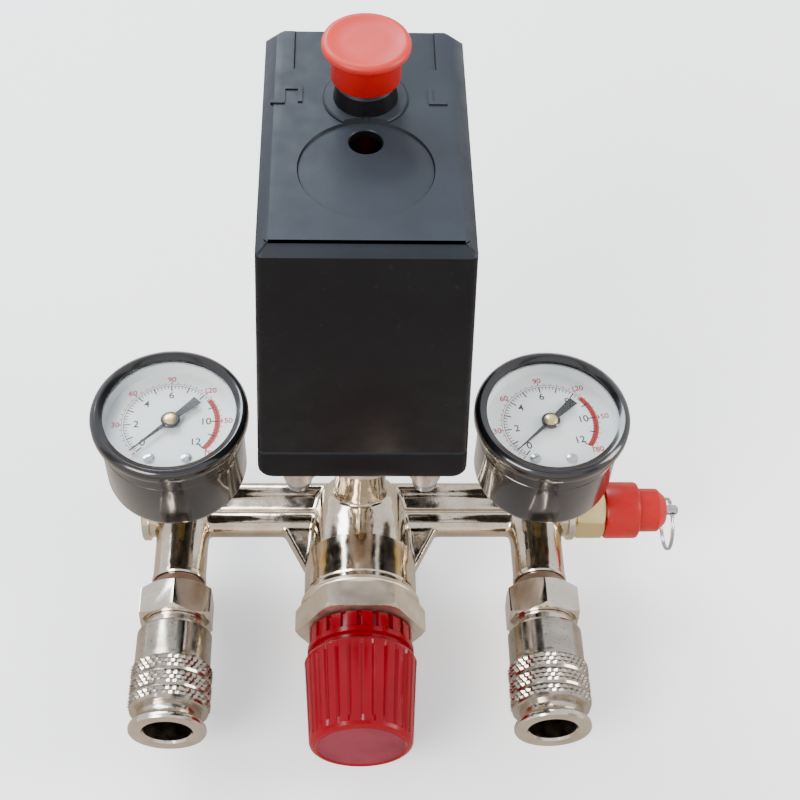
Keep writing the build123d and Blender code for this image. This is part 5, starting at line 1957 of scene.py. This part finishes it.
# ------------------------------------------------------------------ relief valve
@dataclass
class ReliefValve:
    """Brass relief valve with a red cap and a split pull ring.

    Attributes:
        across_flats: Size of the hexagon.
        tower: Radius of the tower under the cap.
        bore_start: Station where the bore widens.
        stem_radius: Radius of the stem.
        ring_radius: Radius of the ring's centre line.
        wire: Radius of the ring's wire.
    """

    across_flats: float = 14.6
    tower: float = 6.4
    bore_start: float = 69.0
    stem_radius: float = 1.5
    ring_radius: float = 7.8
    wire: float = 0.34

    def __post_init__(self) -> None:
        """Reads the valve's place."""
        self.body = Extent.of("safety_valve_body")
        self.cap = Extent.of("safety_valve_cap")
        self.stem = Extent.of("safety_valve_stem")
        self.ring = Extent.of("pull_ring")
        self.centre = Vector((0, 0, self.body.centre.z))

    def put(
        self, piece: Workpiece, finish: Finish, body: str, slot: Slot, node: str,
        centre: Vector | None = None
    ) -> None:
        """Settles one of the valve's pieces.

        Args:
            piece: The piece.
            finish: Its finish.
            body: CAD body that it moves with.
            slot: Its material slot.
            node: CAD node that it replaces.
            centre: Where its own origin goes, if not on the valve's axis.
        """
        piece.settle(finish, body, slot, Facing.SIDE, centre or self.centre, [node])

    def build(self) -> None:
        """Builds the body, cap, stem and ring."""
        start, end = self.body.low.x, self.body.high.x
        hex_start = Extent.of("manifold_body").high.x
        hex_end = self.cap.low.x - 0.1
        profile = [
            (start, 4.95), (hex_start, 4.95), (hex_start, 6.8), (hex_end, 6.8),
            (hex_end, self.tower), (end, self.tower), (end, self.tower - 1.2),
            (self.bore_start, self.tower - 1.2), (self.bore_start, 3.0), (start, 3.0),
        ]
        body = Workpiece.turned("relief_valve_hexagon", profile, sides=96, closed=True)
        nut = Workpiece.nut("nut", self.across_flats, hex_start + 0.05, hex_end, True)
        nut.soften(0.2)
        core = Workpiece.turned("core", [(50.0, 6.0), (90.0, 6.0)])
        body.combine(nut.combine(core, Cut.REMOVE))
        self.put(body, BRASS, "root", Slot.BRASS, "safety_valve_body")
        low, high = self.cap.low.x, self.cap.high.x
        step = low + 10.2
        cap = [
            (low, self.tower), (low, 7.9), (low + 0.2, 8.35), (low + 0.7, 8.55), (step - 1.0, 8.5),
            (step - 0.4, 8.3), (step, 7.8), (step, 6.9), (step + 0.3, 6.6), (high - 2.6, 6.5),
            (high - 0.3, 4.4), (high, 3.9), (high, 1.56), (high - 3.0, 1.56), (high - 3.0, 4.0),
            (high - 4.0, self.tower - 1.2), (step - 1.4, self.tower - 1.2),
            (step - 1.4, self.tower),
        ]
        piece = Workpiece.turned("relief_valve_cap", cap, sides=128, closed=True)
        self.put(piece, CAP_RED, "root", Slot.CAP, "safety_valve_cap")
        low, high = self.stem.low.x, self.stem.high.x
        stem = [
            (low, 4.9), (low + 2.5, 4.9), (low + 2.5, self.stem_radius),
            (high - 0.8, self.stem_radius), (high - 0.25, 1.1), (high, 0.5),
        ]
        piece = Workpiece.turned("relief_valve_stem", stem, sides=48)
        eye = Workpiece.turned("eye", [(-9.0, 0.75), (9.0, 0.75)], sides=32)
        eye.move(Matrix.Translation((0, 0, self.ring.centre.x)) @ Matrix.Rotation(1.5708, 4, "Y"))
        piece.combine(eye, Cut.REMOVE)
        self.put(piece, BRIGHT_STEEL, "relief_stem", Slot.STEEL, "safety_valve_stem")
        turns = []
        for offset in (-0.25, 0.25):
            deselect()
            bpy.ops.mesh.primitive_torus_add(
                major_radius=self.ring_radius, minor_radius=self.wire, major_segments=96,
                minor_segments=12
            )
            turns.append(Workpiece("pull_ring_wire").shift(0, 0, offset))
        ring = turns[0].gather(turns[1:])
        self.put(ring, BRIGHT_STEEL, "ring", Slot.STEEL, "pull_ring", self.ring.centre)


# ------------------------------------------------------------------ inner pieces and studio
@dataclass
class InnerWorks:
    """CAD nodes that stay as they are and only get a finish.

    Attributes:
        steel: Steel nodes.
        spring: Spring nodes.
        brass: Brass nodes.
        rubber: Rubber nodes.
        plastic: Plastic nodes.
    """

    steel: tuple[str, ...] = (
        "adjusting_screw", "spring_seat", "coupler_balls", "cover_screw", "switch_frame",
        "range_bolt", "switch_lever", "pivot_pins", "terminal_screws",
    )
    spring: tuple[str, ...] = (
        "main_spring", "regulator_spring", "poppet_spring", "safety_valve_spring",
    )
    brass: tuple[str, ...] = (
        "regulator_poppet", "gauge_sockets", "bourdon_tubes", "plunger", "fixed_contacts",
        "moving_contacts",
    )
    rubber: tuple[str, ...] = ("regulator_diaphragm", "switch_diaphragm", "cable_grommets")
    plastic: tuple[str, ...] = ("contact_block", "contact_carrier", "trip_rocker")

    def dress(self) -> None:
        """Gives every carried-over node its finish."""
        sided = {
            "gauge_{}_sector": BRASS,
            "coupler_{}_valve": BRASS,
            "coupler_{}_sleeve_spring": SPRING_WIRE,
            "coupler_{}_valve_spring": SPRING_WIRE,
        }
        finishes = {
            name.format(side): finish
            for name, finish in sided.items()
            for side in ("left", "right")
        }
        for nodes, finish in (
            (self.steel, BRIGHT_STEEL), (self.spring, SPRING_WIRE), (self.brass, BRASS),
            (self.rubber, RUBBER), (self.plastic, INNER_PLASTIC),
        ):
            finishes.update({node: finish for node in nodes})
        for node, finish in finishes.items():
            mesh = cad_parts[node].data
            mesh.materials.clear()
            mesh.materials.append(finish.material())
        shown = [name for name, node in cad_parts.items() if not node.hide_render]
        missing = sorted(set(shown) - set(finishes))
        if missing:
            log.warning("nodes without a finish: %s", ", ".join(missing))


@dataclass
class Card:
    """A sheet of card that only shows in reflections, or a lit panel.

    Attributes:
        name: Its name.
        size: Width and height in metres.
        place: Its middle in metres.
        colour: Its colour.
    """

    name: str
    size: tuple[float, float]
    place: tuple[float, float, float]
    colour: Colour

    def build(self, target: Vector) -> None:
        """Hangs the card so that it faces the object.

        Args:
            target: Point that it faces, in metres.
        """
        deselect()
        bpy.ops.mesh.primitive_plane_add(size=1)
        card = bpy.context.object
        card.name = self.name
        card.scale = (*self.size, 1)
        card.location = self.place
        card.rotation_euler = (target - card.location).to_track_quat("Z", "Y").to_euler()
        paper = Backdrop(
            f"{self.name}_paper", self.colour, tuple(0.7 * part for part in self.colour), 150.0
        )
        card.data.materials.append(paper.material())
        card.visible_camera = False
        card.visible_diffuse = False
        card.visible_shadow = False


@dataclass
class Lamp:
    """A soft rectangular light.

    Attributes:
        name: Its name.
        size: Width and height in metres.
        place: Its middle in metres.
        power: Its power in watts.
        colour: Its colour.
    """

    name: str
    size: tuple[float, float]
    place: tuple[float, float, float]
    power: float
    colour: Colour = (1.0, 1.0, 1.0)

    def build(self, target: Vector) -> None:
        """Hangs the lamp so that it shines on the object.

        Args:
            target: Point that it faces, in metres.
        """
        bpy.ops.object.light_add(type="AREA", location=self.place)
        lamp = bpy.context.object
        lamp.name = self.name
        lamp.data.shape = "RECTANGLE"
        lamp.data.size, lamp.data.size_y = self.size
        lamp.data.energy = self.power
        lamp.data.color = self.colour
        lamp.rotation_euler = (target - lamp.location).to_track_quat("-Z", "Y").to_euler()


@dataclass
class Studio:
    """Pale floor, soft light and the camera.

    Attributes:
        camera_place: The camera's place in metres.
        pitch: How far the camera looks down, in degrees.
        yaw: How far it looks to the right, in degrees.
        roll: How far it leans, in degrees.
        lens: Its focal length in millimetres.
    """

    camera_place: tuple[float, float, float] = (-0.00517, -0.23145, 0.38398)
    pitch: float = 52.757
    yaw: float = 3.809
    roll: float = 3.184
    lens: float = 63.87

    def build_floor(self) -> None:
        """Lays the floor."""
        deselect()
        bpy.ops.mesh.primitive_plane_add(size=6, location=(0, 0, -0.001))
        floor = bpy.context.object
        floor.name = "studio_floor"
        floor.data.materials.append(Backdrop("studio_paper").material())

    def build_lights(self, target: Vector) -> None:
        """Hangs lamps and reflection cards, and sets the sky.

        Args:
            target: Point that they face, in metres.
        """
        lamps = (
            Lamp("window_light", (0.9, 0.5), (-0.45, 0.85, 0.85), 20.0, (0.84, 0.92, 1.0)),
            Lamp("front_light", (0.5, 0.35), (-0.55, -0.6, 0.75), 11.0, (1.0, 0.97, 0.92)),
            Lamp("side_light", (0.3, 0.6), (0.85, -0.1, 0.45), 8.0, (1.0, 0.95, 0.88)),
        )
        for lamp in lamps:
            lamp.build(target)
        cards = (
            Card("warm_card", (0.9, 0.5), (0.0, -0.9, 0.2), (0.55, 0.46, 0.36)),
            Card("left_card", (0.3, 0.9), (-0.75, -0.15, 0.3), (0.04, 0.03, 0.02)),
            Card("right_card", (0.22, 0.5), (0.6, -0.5, 0.25), (0.08, 0.055, 0.04)),
            Card("beam_card", (0.7, 0.1), (0.0, -0.38, 0.95), (0.03, 0.025, 0.02)),
            Card("rear_card", (1.2, 0.3), (0.0, 0.95, 0.25), (0.16, 0.1, 0.06)),
            Card("stripe_left", (0.07, 0.8), (-0.3, -0.1, 0.85), (0.12, 0.08, 0.05)),
            Card("stripe_right", (0.09, 0.8), (0.28, -0.1, 0.85), (0.03, 0.025, 0.02)),
        )
        for card in cards:
            card.build(target)
        desk = Card("desk_card", (1.6, 1.6), (0.0, -0.3, -0.0006), (0.24, 0.19, 0.14))
        desk.build(Vector((0.0, -0.3, 1.0)))
        world = bpy.data.worlds.new("studio_sky")
        bpy.context.scene.world = world
        world.use_nodes = True
        sky = world.node_tree.nodes["Background"]
        sky.inputs["Color"].default_value = (0.93, 0.95, 1.0, 1.0)
        sky.inputs["Strength"].default_value = 1.3

    def build_camera(self) -> None:
        """Sets the camera up."""
        down, side, lean = (math.radians(a) for a in (self.pitch, self.yaw, self.roll))
        forward = Vector(
            (math.sin(side) * math.cos(down), math.cos(side) * math.cos(down), -math.sin(down))
        )
        level_right = Vector((math.cos(side), -math.sin(side), 0))
        level_up = level_right.cross(forward)
        right = level_right * math.cos(lean) + level_up * math.sin(lean)
        up = level_up * math.cos(lean) - level_right * math.sin(lean)
        turn = Matrix((right, up, -forward)).transposed().to_4x4()
        bpy.ops.object.camera_add()
        camera = bpy.context.object
        camera.matrix_world = Matrix.Translation(self.camera_place) @ turn
        camera.data.lens = self.lens
        camera.data.sensor_width = 36.0
        camera.data.clip_start = 0.01
        bpy.context.scene.camera = camera

    def build(self) -> None:
        """Builds the studio."""
        target = Extent.of("manifold_body").centre * MILLIMETRE
        self.build_floor()
        self.build_lights(target)
        self.build_camera()


def main() -> None:
    """Builds the whole scene."""
    logging.basicConfig(level=logging.INFO)
    assemblies = (
        SwitchBox(), OnOffKnob(), PortFlange(), Manifold(), Regulator(), Gauge("left", 3.0),
        Gauge("right", 10.0), Coupler("left"), Coupler("right"), ReliefValve(),
    )
    for assembly in assemblies:
        log.info("building %s", type(assembly).__name__)
        assembly.build()
    InnerWorks().dress()
    Studio().build()


if __name__ == "__main__":
    main()
